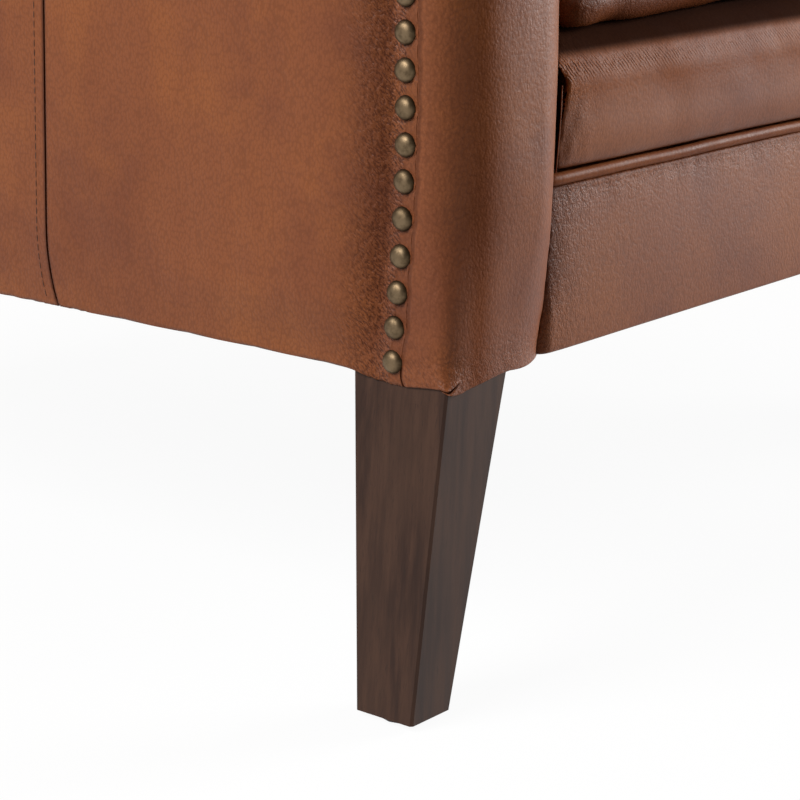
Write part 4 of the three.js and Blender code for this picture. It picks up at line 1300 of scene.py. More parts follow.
@dataclass
class StuffedPad:
    """A foam or fibre pad in leather, blown up a little by a cloth run.

    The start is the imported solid, drawn in a little; no point may move further than the cap,
    and a pad that rests on something keeps its shape near its foot.
    """

    name: str
    node: str
    voxel: float = 6.0
    smoothing: int = 6
    drawn_in: float = 2.0
    cap: float = 6.0
    pressure: float = 4.0
    frames: int = 20
    resting: float = 0.0

    def run(self, piece: bpy.types.Object) -> np.ndarray:
        """Where the pad's points are after the cloth run, in metres."""
        cloth = piece.modifiers.new("Cloth", "CLOTH")
        cloth.settings.quality = 4
        cloth.settings.mass = 0.35
        cloth.settings.tension_stiffness = 20
        cloth.settings.compression_stiffness = 20
        cloth.settings.shear_stiffness = 8
        cloth.settings.bending_stiffness = 1.5
        cloth.settings.use_pressure = True
        cloth.settings.uniform_pressure_force = self.pressure
        cloth.settings.effector_weights.gravity = 0
        cloth.point_cache.frame_start = 1
        cloth.point_cache.frame_end = self.frames
        for frame in range(1, self.frames + 1):
            bpy.context.scene.frame_set(frame)
        seen = piece.evaluated_get(bpy.context.evaluated_depsgraph_get())
        mesh = seen.to_mesh()
        flat = np.empty(len(mesh.vertices) * 3)
        mesh.vertices.foreach_get("co", flat)
        seen.to_mesh_clear()
        piece.modifiers.remove(cloth)
        bpy.context.scene.frame_set(1)
        return flat.reshape(-1, 3)

    def build(self) -> bpy.types.Object:
        """The pad, ready for its seams."""
        piece = copy_of(self.node, self.name)
        apply(piece, "REMESH", mode="VOXEL", voxel_size=self.voxel / 1000, use_smooth_shade=True)
        apply(piece, "SMOOTH", factor=0.5, iterations=self.smoothing)
        if self.drawn_in:
            apply(piece, "DISPLACE", strength=-self.drawn_in / 1000, mid_level=0)
        start = places_of(piece)
        moved = self.run(piece) - start
        moved -= moved.mean(0)
        far = np.maximum(np.linalg.norm(moved, axis=1), 1e-9)
        moved *= np.minimum(1, self.cap / 1000 / far)[:, None]
        if self.resting:
            above = start[:, 2] - start[:, 2].min()
            moved *= smooth((above * 1000 - self.resting / 4) / self.resting)[:, None]
        move_to(piece, start + moved)
        apply(piece, "SUBSURF", levels=1, render_levels=1)
        alone(piece)
        bpy.ops.object.shade_smooth()
        return piece


# Seat front


@dataclass(frozen=True)
class SeatFront:
    """The padded nosing, the welt under it and the plain border below."""

    half: float = 289.0
    middle: float = -CHAIR.outer_face
    ease: float = 0.12
    foot: float = 246.9
    depth: float = 20.5
    cord: float = 3.0
    cord_middle: tuple[float, float] = (5.8, 243.1)
    border_top: float = 240.4

    def flank(self, y: np.ndarray, z: np.ndarray) -> np.ndarray:
        """Depth of the column's inner flank, which the seat front's ends lie against."""
        bands = ArmAndWingBands()
        low = bands.flanks(z)
        rise = mix(CHAIR.column_rise, CHAIR.column_rise_at_base, CHAIR.tucked(z)) - low
        over = np.clip((CHAIR.column_base - low - y) / rise, 0, 1)
        shape = bands.column_shape(z, np.zeros(len(z)))
        peak, power = shape[:, 0] * CHAIR.arm_width, shape[:, 2]
        return peak + (CHAIR.arm_width - peak) * (1 - over**power) ** (1 / power)

    def swept(self, section: np.ndarray, around: np.ndarray, along: np.ndarray) -> np.ndarray:
        """A y and z section run from arm to arm.

        Args:
            section: the outline, as y and z.
            around: shares of the outline's length.
            along: shares of the way from the right arm to the left.

        Returns:
            Rows by columns by depth, y and z.
        """
        ring = Line(section).at(around)
        x = (along * 2 - 1) * self.half
        depth = np.repeat(x[:, None] + self.middle, len(ring), 1)
        y, z = (np.tile(values, (len(x), 1)) for values in ring.T)
        return np.dstack([depth, y, z])

    def against_arms(self, flat: np.ndarray, least: Optional[np.ndarray] = None) -> np.ndarray:
        """The same points, kept off the two columns."""
        nearest = self.flank(flat[:, 1], flat[:, 2]) + self.ease
        if least is not None:
            nearest = np.maximum(nearest, least)
        reach = self.middle - nearest
        depth = np.clip(flat[:, 0], self.middle - reach, self.middle + reach)
        return np.column_stack([depth, flat[:, 1:]])

    def from_end(self, flat: np.ndarray, level: float) -> np.ndarray:
        """Distance from the nearer column, where a face at this y meets it."""
        met = self.flank(np.full(len(flat), level), flat[:, 2])
        return np.minimum(flat[:, 0], 2 * self.middle - flat[:, 0]) - met

    def nosing(self) -> bpy.types.Object:
        """The padded front edge of the deck, full over its ridge, its ends folded in."""
        knots = np.array([
            [29.7, self.foot], [13, self.foot], [7.6, 247.0], [3.6, 248.2], [1.2, 251.6], [-0.7, 259],
            [-1.6, 270], [-1.9, 280], [-1.2, 289], [1.2, 296.8], [5, 302.6], [9.8, 306.8], [16, 309.4],
            [26, 310.3], [60, 310.2], [110, 310],
        ])
        section = curve_through(knots, 600)
        around = np.concatenate([np.linspace(0, 0.5, 90), np.linspace(0.5, 1, 26)[1:]])
        points = self.swept(section, around, spread(2 * self.half, 0.3, 2.2, 0.3, 1.13))
        heart = np.array([16, 280])
        caps = [heart + (points[0, :, 1:] - heart) * k for k in (0.02, 0.3, 0.6, 0.85)]
        left = [np.column_stack([points[0, :, 0], cap]) for cap in caps]
        right = [np.column_stack([points[-1, :, 0], cap]) for cap in caps[::-1]]
        points = np.concatenate([left, points, right])
        shape = points.shape[:2]
        flat = points.reshape(-1, 3)
        least = self.end_line(flat)
        end = np.minimum(flat[:, 0], 2 * self.middle - flat[:, 0]) - least
        front = smooth((30 - flat[:, 1]) / 15)
        inner = smooth(end / 30)
        flat[:, 1] -= front * inner * (0.8 * ripple(flat, 55, 51) + 0.4 * ripple(flat, 20, 52))
        low = smooth((290 - flat[:, 2]) / 30)
        past = np.maximum(end, 0)
        flat[:, 1] += front * (roll(past, 0.7) + (0.4 + 1.5 * low) * np.exp(-past / 8))
        puckers = 0.7 * ripple(flat * (1, 1, 0.35), 4.6, 53)
        flat[:, 1] += bell(end, 11, 8) * front * low * puckers
        ridge = bell(flat[:, 2], 5, 294.5) * front
        ridge *= np.exp(-past / 170) * (0.75 + 0.25 * ripple(flat, 30, 55))
        flat = self.against_arms(flat, self.end_line(flat))
        piece = net("deck_nosing_leather", CHAIR.place(flat).reshape(*shape, 3))
        gathered = bell(past, 20)
        mark(piece, "slack", 0.1 + 0.4 * gathered)
        mark(piece, "ridge", ridge)
        mark(piece, "dull", np.maximum(0.85 * smooth((flat[:, 2] - 266) / 20), 0.55 * gathered * low))
        mark(piece, "taut", 1 - 0.5 * gathered)
        # Painted shadow on the top under the cushion, on the folded-in end walls and in the line above the
        # welt; painted shade at the lower ends beside the columns and along the foot.
        under = smooth((flat[:, 2] - 297.5) / 5.0)
        capped = [1] * len(caps)
        inside = np.repeat(capped + [0] * (shape[0] - 2 * len(caps)) + capped, shape[1])
        welted = 0.7 * bell(flat[:, 2], 1.2, self.foot) * (flat[:, 1] > 5)
        mark(piece, "painted_shadow", np.clip(np.maximum.reduce([0.93 * under, 0.8 * inside, welted]), 0, 1))
        foot = 0.5 * np.exp(-(np.maximum(flat[:, 2] - 247.5, 0) / 3.2)) * front
        mark(piece, "shade", np.clip(np.maximum(0.45 * low * bell(end, 12, 3), foot), 0, 1))
        back_up(piece, lambda places: np.column_stack([
            places[:, :2], np.maximum(places[:, 2] - self.depth / 1000, self.foot / 1000),
        ]))
        soften(piece, 60)
        return piece

    def end_line(self, flat: np.ndarray) -> np.ndarray:
        """Depth of the nosing's end: it stands a little off the column and slants back into the gap."""
        near = np.interp(
            flat[:, 2], [249, 258, 267, 273.6, 280.4, 287, 290.3, 296.2, 300],
            [81.8, 82.2, 82.8, 83.7, 84.3, 86, 85.5, 80.7, 80],
        )
        return np.minimum(90.4, near + 1.3 * np.maximum(flat[:, 1] - 1, 0))

    def end_fold(self) -> bpy.types.Object:
        """The folded edge of the nosing's hide, which stands in the gap beside the column."""
        places = np.array([
            [81.6, -0.5, 287.5], [81.4, -0.4, 281], [81.2, -0.3, 274.7], [80.7, 0.0, 265],
            [79.9, 0.9, 247.5],
        ])
        path = curve_through(places, 60)
        turn = np.linspace(0, 2 * math.pi, 11)[:-1]
        rows = []
        for at, share in zip(path, np.linspace(0, 1, len(path))):
            wide = 0.3 * min(1, 6 * share + 0.25, 6 * (1 - share) + 0.4)
            ring = np.stack([np.cos(turn) * wide, np.sin(turn) * 0.25, np.zeros(len(turn))], 1)
            rows.append(at + ring)
        rows = np.array(rows)
        piece = net("nosing_end_fold_right", CHAIR.place(np.concatenate([rows, rows[:, :1]], 1)))
        mark(piece, "slack", 0.1)
        mark(piece, "shade", 0.0)
        close_up(piece)
        soften(piece, 60)
        return piece

    def welt(self) -> bpy.types.Object:
        """A cord covered in leather, with its flange tacked behind."""
        turn = np.linspace(-0.25, 2 * math.pi - 0.55, 25)
        ring = self.cord_middle + self.cord * np.stack([np.cos(turn), np.sin(turn)], 1)
        section = np.vstack([[[29, 243.9], [10, 243.9]], ring[1:], [[10, 242.5], [29, 242.5]]])
        points = self.swept(section, np.linspace(0, 1, 72), spread(2 * self.half, 0.6, 3.0, 0.6))
        shape = points.shape[:2]
        flat = points.reshape(-1, 3)
        line = flat * (1, 0, 0)
        flat[:, 1] += 0.2 * ripple(line, 26, 61)
        flat[:, 2] += 0.3 * ripple(line, 40, 62) + 0.12 * ripple(line, 9, 63)
        end = self.from_end(flat, 4.0)
        flat[:, 1] += 1.2 * np.exp(-np.maximum(end, 0) / 4)
        piece = net("front_welt_leather", CHAIR.place(self.against_arms(flat)).reshape(*shape, 3))
        mark(piece, "slack", 0.1)
        mark(piece, "dull", 0.7)
        mark(piece, "taut", 0.8)
        # Painted shade all along the welt, deepest at its ends beside the columns.
        mark(piece, "shade", 0.16 + 0.3 * np.exp(-np.maximum(end, 0) / 5))
        close_up(piece)
        soften(piece, 60)
        return piece

    def border(self) -> bpy.types.Object:
        """The plain border, gathered a little under the welt and slack beside the columns."""
        low, high = CHAIR.base, self.border_top
        x = (spread(2 * self.half, 0.4, 2.2, 0.4, 1.12) * 2 - 1) * self.half + self.middle
        z = mix(low, high, spread(79, 0.4, 1.5, 0.3))
        depth, height = np.meshgrid(x, z)
        shape = depth.shape
        flat = np.column_stack([depth.ravel(), np.zeros(depth.size), height.ravel()])
        end = np.maximum(self.from_end(flat, 4.4), 0)
        under = high - flat[:, 2]
        gathers = ripple(flat * (1, 1, 0.12), 5.5, 71) * bell(under, 13)
        full = 1.5 * np.sin(np.clip((flat[:, 2] - low) / (high - low), 0, 1) * math.pi) ** 0.6
        full += 0.35 * gathers + 0.7 * ripple(flat, 60, 72) * smooth(end / 30)
        wrinkles = ripple(flat * (1, 1, 0.45) + (0, 0, 1) * flat[:, :1] * 0.4, 5.0, 73)
        full += 0.4 * wrinkles * bell(end, 13) * smooth(end / 2)
        higher = smooth((flat[:, 2] - 165) / 40)
        full -= roll(under, 2.2) + roll(flat[:, 2] - low, 1.6) + roll(end, 1.0)
        full -= np.exp(-end / 8) * (0.2 + 0.8 * higher)
        flat[:, 1] = 4.8 - full
        deep = self.half - np.abs(flat[:, 0] - self.middle)
        flat[:, 1] += roll(deep, 7.0)
        flat = self.against_arms(flat)
        piece = net("front_border_leather", CHAIR.place(flat).reshape(*shape, 3))
        mark(piece, "slack", np.clip(0.15 + 0.5 * bell(under, 10) + 0.6 * np.exp(-end / 18), 0, 1))
        mark(piece, "taut", 0.7 * (1 - bell(end, 26)))
        mark(piece, "dull", np.maximum(0.9 * bell(under, 4), 0.5 * bell(end, 15)))
        # Painted shade under the welt and beside the columns, stronger higher up.
        beside = 0.8 * np.exp(-end / 13) * (0.25 + 0.75 * higher)
        mark(piece, "shade", np.clip(0.6 * np.exp(-under / 1.5) + beside, 0, 1))
        back = (CHAIR.front_line + CHAIR.column_base - 0.1) / 1000
        side = (self.middle - 90.6) / 1000
        back_up(piece, lambda places: np.column_stack([
            np.clip(places[:, 0], -side, side), np.full(len(places), back), places[:, 2],
        ]))
        soften(piece, 60)
        return piece


# Seat cushion and inner pads


class InnerPads:
    """The loose cushion, the inside back, and the insides of the arms and wings."""

    def cushion(self) -> bpy.types.Object:
        """The loose seat cushion, with its boxing seams."""
        piece = StuffedPad("seat_cushion_leather", "seat_cushion", 6.0, 4, 1.5, 7.0, resting=50.0).build()
        half, foot = 271.0, 310.6
        places = places_of(piece) * 1000
        normals = normals_of(piece)
        side = smooth((0.98 - np.abs(normals[:, 2])) / 0.4)
        out, back, level = -np.abs(places[:, 0]), places[:, 1].copy(), places[:, 2].copy()
        back -= 3 * smooth((-out - 120) / 130) * smooth((60 - back - CHAIR.front_line) / 50)
        out, back = self.fuller(out, back, (-half, back.min()), (48, 48), 6.0)
        squarer = mix(3.0, 6.0, smooth((-out - 90) / 170))
        back, level = self.fuller(back, level, (back.min(), foot), (34, 36), squarer)
        out, level = self.fuller(out, level, (-half, foot), (30, 36), 5.0)
        places = np.stack([-out * np.sign(places[:, 0]), back, level], 1)
        # Painted shade in the boxing seams and on the cushion's lower edge and underside.
        shade = np.zeros(len(places))
        for level in (323.5, 431.0):
            seam = bell(places[:, 2], 2.4, level) * side
            places -= normals * (1.5 * seam)[:, None]
            shade = np.maximum(shade, 0.7 * bell(places[:, 2], 1.3, level) * side)
        places += normals * (0.7 * ripple(places, 45, 81) + 0.4 * ripple(places, 19, 82))[:, None]
        places[:, 0] = np.clip(places[:, 0], -half - 3, half + 3)
        places[:, 2] = np.maximum(places[:, 2], foot)
        move_to(piece, places / 1000)
        underneath = smooth((327 - places[:, 2]) / 7)
        mark(piece, "slack", np.clip(0.2 + 0.25 * side + 0.3 * ripple(places, 80, 83), 0, 1))
        mark(piece, "shade", np.maximum(shade, 0.62 * underneath))
        mark(piece, "dull", 0.85 * underneath)
        return piece

    def fuller(
        self, a: np.ndarray, b: np.ndarray, corner: tuple[float, float], size: tuple[float, float],
        power: float | np.ndarray,
    ) -> tuple[np.ndarray, np.ndarray]:
        """Two coordinates with a rounded edge, which lies towards their low values, made squarer.

        Args:
            a: the first coordinate of each place.
            b: the second coordinate.
            corner: where the edge would be if it were sharp.
            size: how far the rounding reaches along each coordinate.
            power: how square it becomes; 2 leaves it round.

        Returns:
            The new coordinates.
        """
        u = np.clip((corner[0] + size[0] - a) / size[0], 0, 1)
        v = np.clip((corner[1] + size[1] - b) / size[1], 0, 1)
        grow = np.hypot(u, v) / np.maximum((u**power + v**power) ** (1 / power), 1e-6)
        grow = np.where((u > 0) & (v > 0), grow, 1)
        return a - u * (grow - 1) * size[0], b - v * (grow - 1) * size[1]

    def inner(self, name: str, node: str, voxel: float, cap: float) -> bpy.types.Object:
        """A pad that stays in its place in the frame."""
        piece = StuffedPad(name, node, voxel, 4, 0.6, cap).build()
        places = places_of(piece) * 1000
        soft = 0.9 * ripple(places, 60, 91) + 0.4 * ripple(places, 24, 92)
        places += normals_of(piece) * soft[:, None]
        move_to(piece, places / 1000)
        mark(piece, "slack", np.clip(0.2 + 0.3 * ripple(places, 70, 93), 0, 1))
        return piece


# Back, deck and underside


@dataclass(frozen=True)
class BackPanel:
    """The outside back: one hide on a raked board."""

    thickness: float = 10.0
    edge_roll: float = 4.0

    def build(self) -> bpy.types.Object:
        """The panel, lightly drawn in at its tacked edges."""
        low, high = packed_box("outside_back_panel")
        x = mix(low[0], high[0], spread(high[0] - low[0], 0.4, 3.4, 0.4, 1.15))
        z = mix(low[2], high[2], spread(high[2] - low[2], 0.4, 3.4, 0.4, 1.15))
        across, height = np.meshgrid(x, z)
        sides = high[0] - np.abs(across)
        ends = np.minimum(height - low[2], high[2] - height)
        flat = flat_spots(across, height)
        waves = (ripple(flat, 90, 101) + 0.5 * ripple(flat, 36, 102)).reshape(across.shape)
        gathers = ripple(flat * (1, 0.15, 1), 9, 103).reshape(across.shape) * bell(ends, 14)
        relief = 1.2 * smooth(np.minimum(sides, ends) / 60) - 1.9 + 0.45 * waves
        relief += 0.35 * gathers * smooth(ends / 4)
        relief -= roll(sides, self.edge_roll) + roll(ends, self.edge_roll)
        y = CHAIR.outside_back(height) + CHAIR.front_line + np.minimum(relief, -0.05)
        piece = net("outside_back_leather", np.dstack([across, y, height])[:, ::-1] / 1000)
        # Painted shade along the tacked edges.
        shade = 0.35 * bell(np.minimum(sides, ends), 2.5)
        mark(piece, "slack", 0.2)
        mark(piece, "shade", shade.ravel())
        inner = self.thickness - 0.4 - CHAIR.front_line
        back_up(piece, lambda places: np.column_stack([
            places[:, 0], (CHAIR.outside_back(places[:, 2] * 1000) - inner) / 1000, places[:, 2],
        ]))
        soften(piece, 50)
        return piece


@dataclass(frozen=True)
class SeatDeck:
    """What lies under the cushion, and the webbing and cambric that close the frame."""

    felt_thickness: float = 2.1
    cambric_thickness: float = 0.5
    strap_thickness: float = 1.8
    strap_width: float = 50.0
    strap_reach: float = 311.7
    strap_low: float = 330.0
    strap_high: float = 1000.0
    strap_depth: float = 57.8
    uprights: int = 5
    crossings: int = 6

    def pad(self) -> bpy.types.Object:
        """The deck pad, soft under a taut deck cloth."""
        low, high = packed_box("deck_pad")
        x = mix(low[0], high[0], spread(high[0] - low[0], 0.5, 6, 0.5, 1.3))
        y = mix(low[1], high[1], spread(high[1] - low[1], 0.5, 6, 0.5, 1.3))
        across, back = np.meshgrid(x, y)
        near = np.minimum.reduce([across - low[0], high[0] - across, back - low[1], high[1] - back])
        spots = flat_spots(across, back)
        puff = 0.7 * ripple(spots, 60, 111).reshape(across.shape) * smooth(near / 30) - 0.8
        piece = net("deck_cloth", np.dstack([across, back, high[2] + puff - roll(near, 3.0)]) / 1000)
        level = (low[2] + 0.2) / 1000
        back_up(piece, lambda places: np.column_stack([places[:, :2], np.full(len(places), level)]))
        soften(piece, 50)
        return piece

    def felt(self) -> bpy.types.Object:
        """The felt between the springs and the pad, wavy where the springs press."""
        low, high = packed_box("spring_insulator")
        across, back = np.meshgrid(np.linspace(low[0], high[0], 130), np.linspace(low[1], high[1], 120))
        spots = flat_spots(across, back)
        wave = 0.35 * ripple(spots, 26, 121).reshape(across.shape)
        piece = net("spring_felt", np.dstack([across, back, (low[2] + high[2]) / 2 + wave]) / 1000)
        apply(piece, "SOLIDIFY", thickness=self.felt_thickness / 1000, offset=0)
        soften(piece, 50)
        return piece

    def dust_cloth(self) -> bpy.types.Object:
        """The cambric under the seat, tight between its staples and cut round the posts."""
        low, high = packed_box("dust_cover")
        packed = places_of(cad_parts["dust_cover"]) * 1000
        rows = np.unique(packed[:, 1].round(1))
        reach = [np.abs(packed[np.abs(packed[:, 1] - row) < 0.2][:, 0]) for row in rows]
        y, half = [], []
        for near, far, first, second in zip(rows[:-1], rows[1:], reach[:-1], reach[1:]):
            steps = max(int((far - near) / 9), 2)
            y.append(np.linspace(near + 0.2, far - 0.2, steps))
            half.append(np.full(steps, min(first.max(), second.max())))
        y, half = np.concatenate(y), np.concatenate(half)
        share = np.linspace(-1, 1, 90)
        across, back = share[None] * half[:, None], np.repeat(y[:, None], len(share), 1)
        near = np.minimum.reduce([half[:, None] - np.abs(across), back - low[1], high[1] - back])
        spots = flat_spots(across, back)
        slack = smooth(near / 60) * (0.45 + 0.35 * ripple(spots, 110, 131).reshape(across.shape))
        piece = net("cambric_dust_cover", np.dstack([across, back, high[2] - 0.3 - slack]) / 1000)
        apply(piece, "SOLIDIFY", thickness=self.cambric_thickness / 1000, offset=-1)
        soften(piece, 50)
        return piece

    def strap(
        self, name: str, upright: bool, place: float, phase: int, span: tuple[float, float]
    ) -> bpy.types.Object:
        """One webbing strap, woven over and under those that cross it.

        Args:
            name: the piece's name.
            upright: whether the strap runs up the back rather than across it.
            place: where its near edge lies.
            phase: 0 where it starts over the first crossing, otherwise 1.
            span: where it starts and ends.

        Returns:
            The strap.
        """
        wide, long = np.linspace(0, self.strap_width, 9), np.linspace(*span, 150)
        u, v = np.meshgrid(wide + place, long)
        x, z = (u, v) if upright else (v, u)
        if upright:
            start, run, gaps = self.strap_low, self.strap_high - self.strap_low, self.crossings - 1
        else:
            start, run, gaps = -self.strap_reach, 2 * self.strap_reach, self.uprights - 1
        pitch = (run - self.strap_width) / gaps
        wave = np.cos((v - (start + self.strap_width / 2)) / pitch * math.pi + phase * math.pi)
        offset = np.clip(1.9 * wave, -1.05, 1.05)
        y = CHAIR.outside_back(z) + CHAIR.front_line - self.strap_depth + offset
        piece = net(name, np.dstack([x, y, z]) / 1000)
        apply(piece, "SOLIDIFY", thickness=self.strap_thickness / 1000, offset=0)
        return piece

    def webbing(self) -> bpy.types.Object:
        """The woven jute straps of the inside back, as one piece."""
        straps = []
        reach, low, high = self.strap_reach, self.strap_low, self.strap_high
        for i in range(self.uprights):
            place = mix(-reach, reach - self.strap_width, i / (self.uprights - 1))
            straps.append(self.strap(f"upright_{i}", True, place, i % 2, (low, high)))
        for i in range(self.crossings):
            place = mix(low, high - self.strap_width, i / (self.crossings - 1))
            straps.append(self.strap(f"crossing_{i}", False, place, (i + 1) % 2, (-reach, reach)))
        alone(straps[0])
        for strap in straps[1:]:
            strap.select_set(True)
        bpy.ops.object.join()
        piece = straps[0]
        piece.name = piece.data.name = "jute_back_webbing"
        soften(piece, 50)
        return piece


@dataclass
class TopStitch:
    """A line of stitches sewn beside the piecing seam."""

    long: float = 3.8
    pitch: float = 4.7
    thick: float = 0.6
    shift: float = 6.8

    def row(self, name: str, panel: bpy.types.Object, sign: int) -> bpy.types.Object:
        """Every stitch of one side, lying in the panel's surface.

        Args:
            name: the piece's name.
            panel: the leather panel that is stitched.
            sign: -1 for the sitter's right side, 1 for the left.

        Returns:
            The stitches as one piece.
        """
        alone()
        bpy.ops.mesh.primitive_uv_sphere_add(segments=8, ring_count=6, radius=0.5)
        stitch = bpy.context.object
        shape = places_of(stitch) * (self.thick, self.thick, self.long)
        faces = [tuple(p.vertices) for p in stitch.data.polygons]
        bpy.data.objects.remove(stitch)
        line = Line(CHAIR.piece_seam_line(self.shift))
        count = int(line.length / self.pitch)
        middles = line.at((np.arange(count) + 0.5) / count)
        leans = np.gradient(middles[:, 0]) / np.gradient(middles[:, 1])
        above = middles[:, 1] > CHAIR.base + 3
        leather = places_of(panel) * 1000 - (0, CHAIR.front_line, 0)
        leather = leather[np.abs(leather[:, 0]) > -CHAIR.outer_face - 4]
        points, polygons = [], []
        for i, ((y, z), lean) in enumerate(zip(middles[above], leans[above])):
            nearest = np.hypot(leather[:, 1] - y, leather[:, 2] - z).argmin()
            at = np.array([leather[nearest, 0] + sign * 0.02, y + CHAIR.front_line, z])
            polygons += [tuple(i * len(shape) + v for v in face) for face in faces]
            points.append(at + shape + np.outer(shape[:, 2], (0, lean, 0)))
        piece = of_points(name, points, polygons)
        alone(piece)
        bpy.ops.object.shade_smooth()
        return piece


# Main


def ready(
    piece: bpy.types.Object, body: str, finish: bpy.types.Material, slot: str, *nodes: str,
    fill: Optional[float] = None,
) -> None:
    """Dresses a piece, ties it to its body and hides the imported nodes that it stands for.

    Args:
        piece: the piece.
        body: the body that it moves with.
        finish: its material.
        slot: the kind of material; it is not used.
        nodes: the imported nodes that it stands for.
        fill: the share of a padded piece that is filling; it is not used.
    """
    piece.data.materials.clear()
    piece.data.materials.append(finish)
    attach(piece, body)
    if nodes:
        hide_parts(*nodes)
    log.info("%s: %d faces", piece.name, len(piece.data.polygons))


def ready_pair(
    piece: bpy.types.Object, finish: bpy.types.Material, *nodes: str, fill: Optional[float] = None
) -> bpy.types.Object:
    """Readies a leather piece of the right side and its twin.

    Args:
        piece: the piece on the right side.
        finish: the leather.
        nodes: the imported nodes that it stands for, on the right side.
        fill: the share of a padded piece that is filling.

    Returns:
        The twin, on the left side.
    """
    ready(piece, "frame", finish, "leather", *nodes, fill=fill)
    twin = mirrored(piece, piece.name.replace("right", "left"))
    ready(twin, "frame", finish, "leather", *(node.replace("right", "left") for node in nodes), fill=fill)
    return twin


def dress_frame(finishes: Finishes) -> None:
    """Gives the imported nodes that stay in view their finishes."""
    kinds = {
        "glide": finishes.nylon, "bolt": finishes.steel, "spring_unit": finishes.steel, "leg": finishes.wood,
    }
    for name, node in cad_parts.items():
        finish = next((f for word, f in kinds.items() if word in name), finishes.timber)
        node.data.materials.clear()
        node.data.materials.append(finish)


@dataclass(frozen=True)
class Studio:
    """A pale floor, three soft lights and the camera of the photograph."""

    lens: float = 106.4
    sensor: float = 36.0
    camera_place: tuple[float, float, float] = (-1.15553, -1.02887, 0.42924)
    camera_turn: tuple[float, float, float] = (74.89, 0.0, -50.3)
    floor_radius: float = 40.0
    surround: tuple[float, float, float, float] = (1.0, 0.9, 0.8, 1.0)
    surround_strength: float = 0.1

    def camera(self) -> None:
        """The camera, solved from the photograph's edges."""
        data = bpy.data.cameras.new("camera")
        data.lens = self.lens
        data.sensor_width = self.sensor
        camera = bpy.data.objects.new("camera", data)
        camera.location = self.camera_place
        camera.rotation_euler = [math.radians(turn) for turn in self.camera_turn]
        bpy.context.scene.collection.objects.link(camera)
        bpy.context.scene.camera = camera

    def softbox(
        self, name: str, place: Sequence[float], aim: Sequence[float], size: tuple[float, float],
        watts: float,
    ) -> None:
        """A rectangular softbox that is aimed at a point."""
        data = bpy.data.lights.new(name, "AREA")
        data.shape = "RECTANGLE"
        data.size, data.size_y = size
        data.energy = watts
        light = bpy.data.objects.new(name, data)
        light.location = place
        away = np.array(place) - np.array(aim)
        flat = math.hypot(away[0], away[1])
        light.rotation_euler = (math.atan2(flat, away[2]), 0, math.atan2(away[1], away[0]) + math.pi / 2)
        bpy.context.scene.collection.objects.link(light)

    def floor(self) -> None:
        """The pale floor. The camera and gloss see it as the photograph's white ground."""
        alone()
        bpy.ops.mesh.primitive_circle_add(vertices=96, radius=self.floor_radius, fill_type="NGON")
        floor = bpy.context.object
        floor.name = "studio_floor"
        sheet = Sheet("studio_paper")
        glow = sheet.add("Emission", {"Color": (1, 1, 1, 1), "Strength": 1.0})
        rays = sheet.add("LightPath").outputs
        seen = sheet.math("MAXIMUM", rays["Is Camera Ray"], rays["Is Glossy Ray"])
        seen = sheet.math("MAXIMUM", seen, rays["Is Transmission Ray"])
        pale = sheet.blend(seen, (0.2, 0.2, 0.2, 1), (0.9, 0.9, 0.9, 1))
        paper = sheet.add("BsdfDiffuse", {"Color": pale})
        share = sheet.math("MULTIPLY", seen, 0.94)
        both = sheet.add("MixShader", {0: share, 1: paper.outputs[0], 2: glow.outputs[0]})
        output = sheet.add("OutputMaterial")
        sheet.tree.links.new(both.outputs[0], output.inputs[0])
        floor.data.materials.append(sheet.material)

    def world(self) -> None:
        """A dim even surround."""
        world = bpy.data.worlds.new("studio")
        world.use_nodes = True
        shade = world.node_tree.nodes["Background"]
        shade.inputs[0].default_value = self.surround
        shade.inputs[1].default_value = self.surround_strength
        bpy.context.scene.world = world

    def build(self) -> None:
        """The whole studio."""
        bpy.context.scene.view_settings.view_transform = "Standard"
        self.camera()
        self.floor()
        self.world()
        self.softbox("side_softbox", (-2.5, 0.3, 2.1), (-0.35, -0.2, 0.35), (1.5, 1.5), 97)
        self.softbox("front_softbox", (1.97, -1.5, 0.9), (-0.1, -0.4, 0.25), (1.2, 1.3), 84)
        self.softbox("rear_softbox", (0.9, 2.6, 1.9), (0, 0.2, 0.5), (1.8, 1.8), 30)


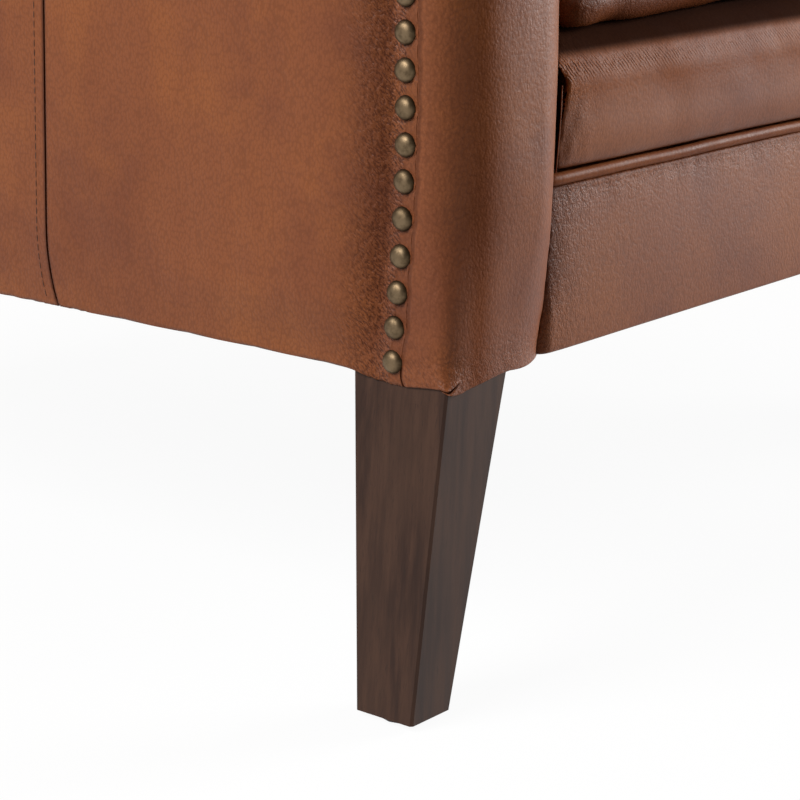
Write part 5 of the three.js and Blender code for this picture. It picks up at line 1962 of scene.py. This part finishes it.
def main() -> None:
    """Builds the chair's looks in order."""
    finishes = Finishes()
    dress_frame(finishes)
    for piece, node in OutsideLeather().build():
        twin = ready_pair(piece, finishes.leather, node)
        if "rear" in piece.name:
            for panel, side, sign in ((piece, "right", -1), (twin, "left", 1)):
                stitches = TopStitch().row(f"piecing_topstitch_{side}", panel, sign)
                ready(stitches, "frame", finishes.thread, "leather")
    bands = ArmAndWingBands()
    for piece, node in (
        (bands.column(), "arm_front_pad_right"), (bands.arm_top(), "arm_top_pad_right"),
        (bands.wing_edge(), "wing_edge_pad_right"),
    ):
        ready_pair(piece, finishes.leather, node, fill=0.9)
    for side in Side:
        nails = NailRow().row(f"nail_heads_{side.value}", side)
        ready(nails, "frame", finishes.brass, "antique_brass", f"nail_trim_{side.value}")
    front = SeatFront()
    for piece, node, fill in (
        (front.nosing(), "deck_nosing", 0.9), (front.welt(), "front_welt", None),
        (front.border(), "front_border", 0.9),
    ):
        ready(piece, "frame", finishes.leather, "leather", node, fill=fill)
    ready_pair(front.end_fold(), finishes.leather)
    pads = InnerPads()
    ready(pads.cushion(), "cushion", finishes.leather, "leather", "seat_cushion", fill=0.85)
    back = pads.inner("inside_back_leather", "inside_back_pad", 8.0, 7.0)
    ready(back, "frame", finishes.leather, "leather", "inside_back_pad", fill=0.85)
    for part in ("inside_arm", "inside_wing"):
        piece = pads.inner(f"{part}_leather_right", f"{part}_pad_right", 5.0, 4.0)
        ready_pair(piece, finishes.leather, f"{part}_pad_right", fill=0.9)
    ready(BackPanel().build(), "frame", finishes.leather, "leather", "outside_back_panel")
    deck = SeatDeck()
    ready(deck.pad(), "frame", finishes.deck_cloth, "dust_cloth", "deck_pad", fill=0.9)
    felt = deck.felt()
    ready(felt, "frame", finishes.felt, "felt", "spring_insulator")
    cambric = deck.dust_cloth()
    ready(cambric, "frame", finishes.cambric, "dust_cloth", "dust_cover")
    ready(deck.webbing(), "frame", finishes.webbing, "webbing", "back_webbing")
    Studio().build()


if __name__ == "__main__":
    main()
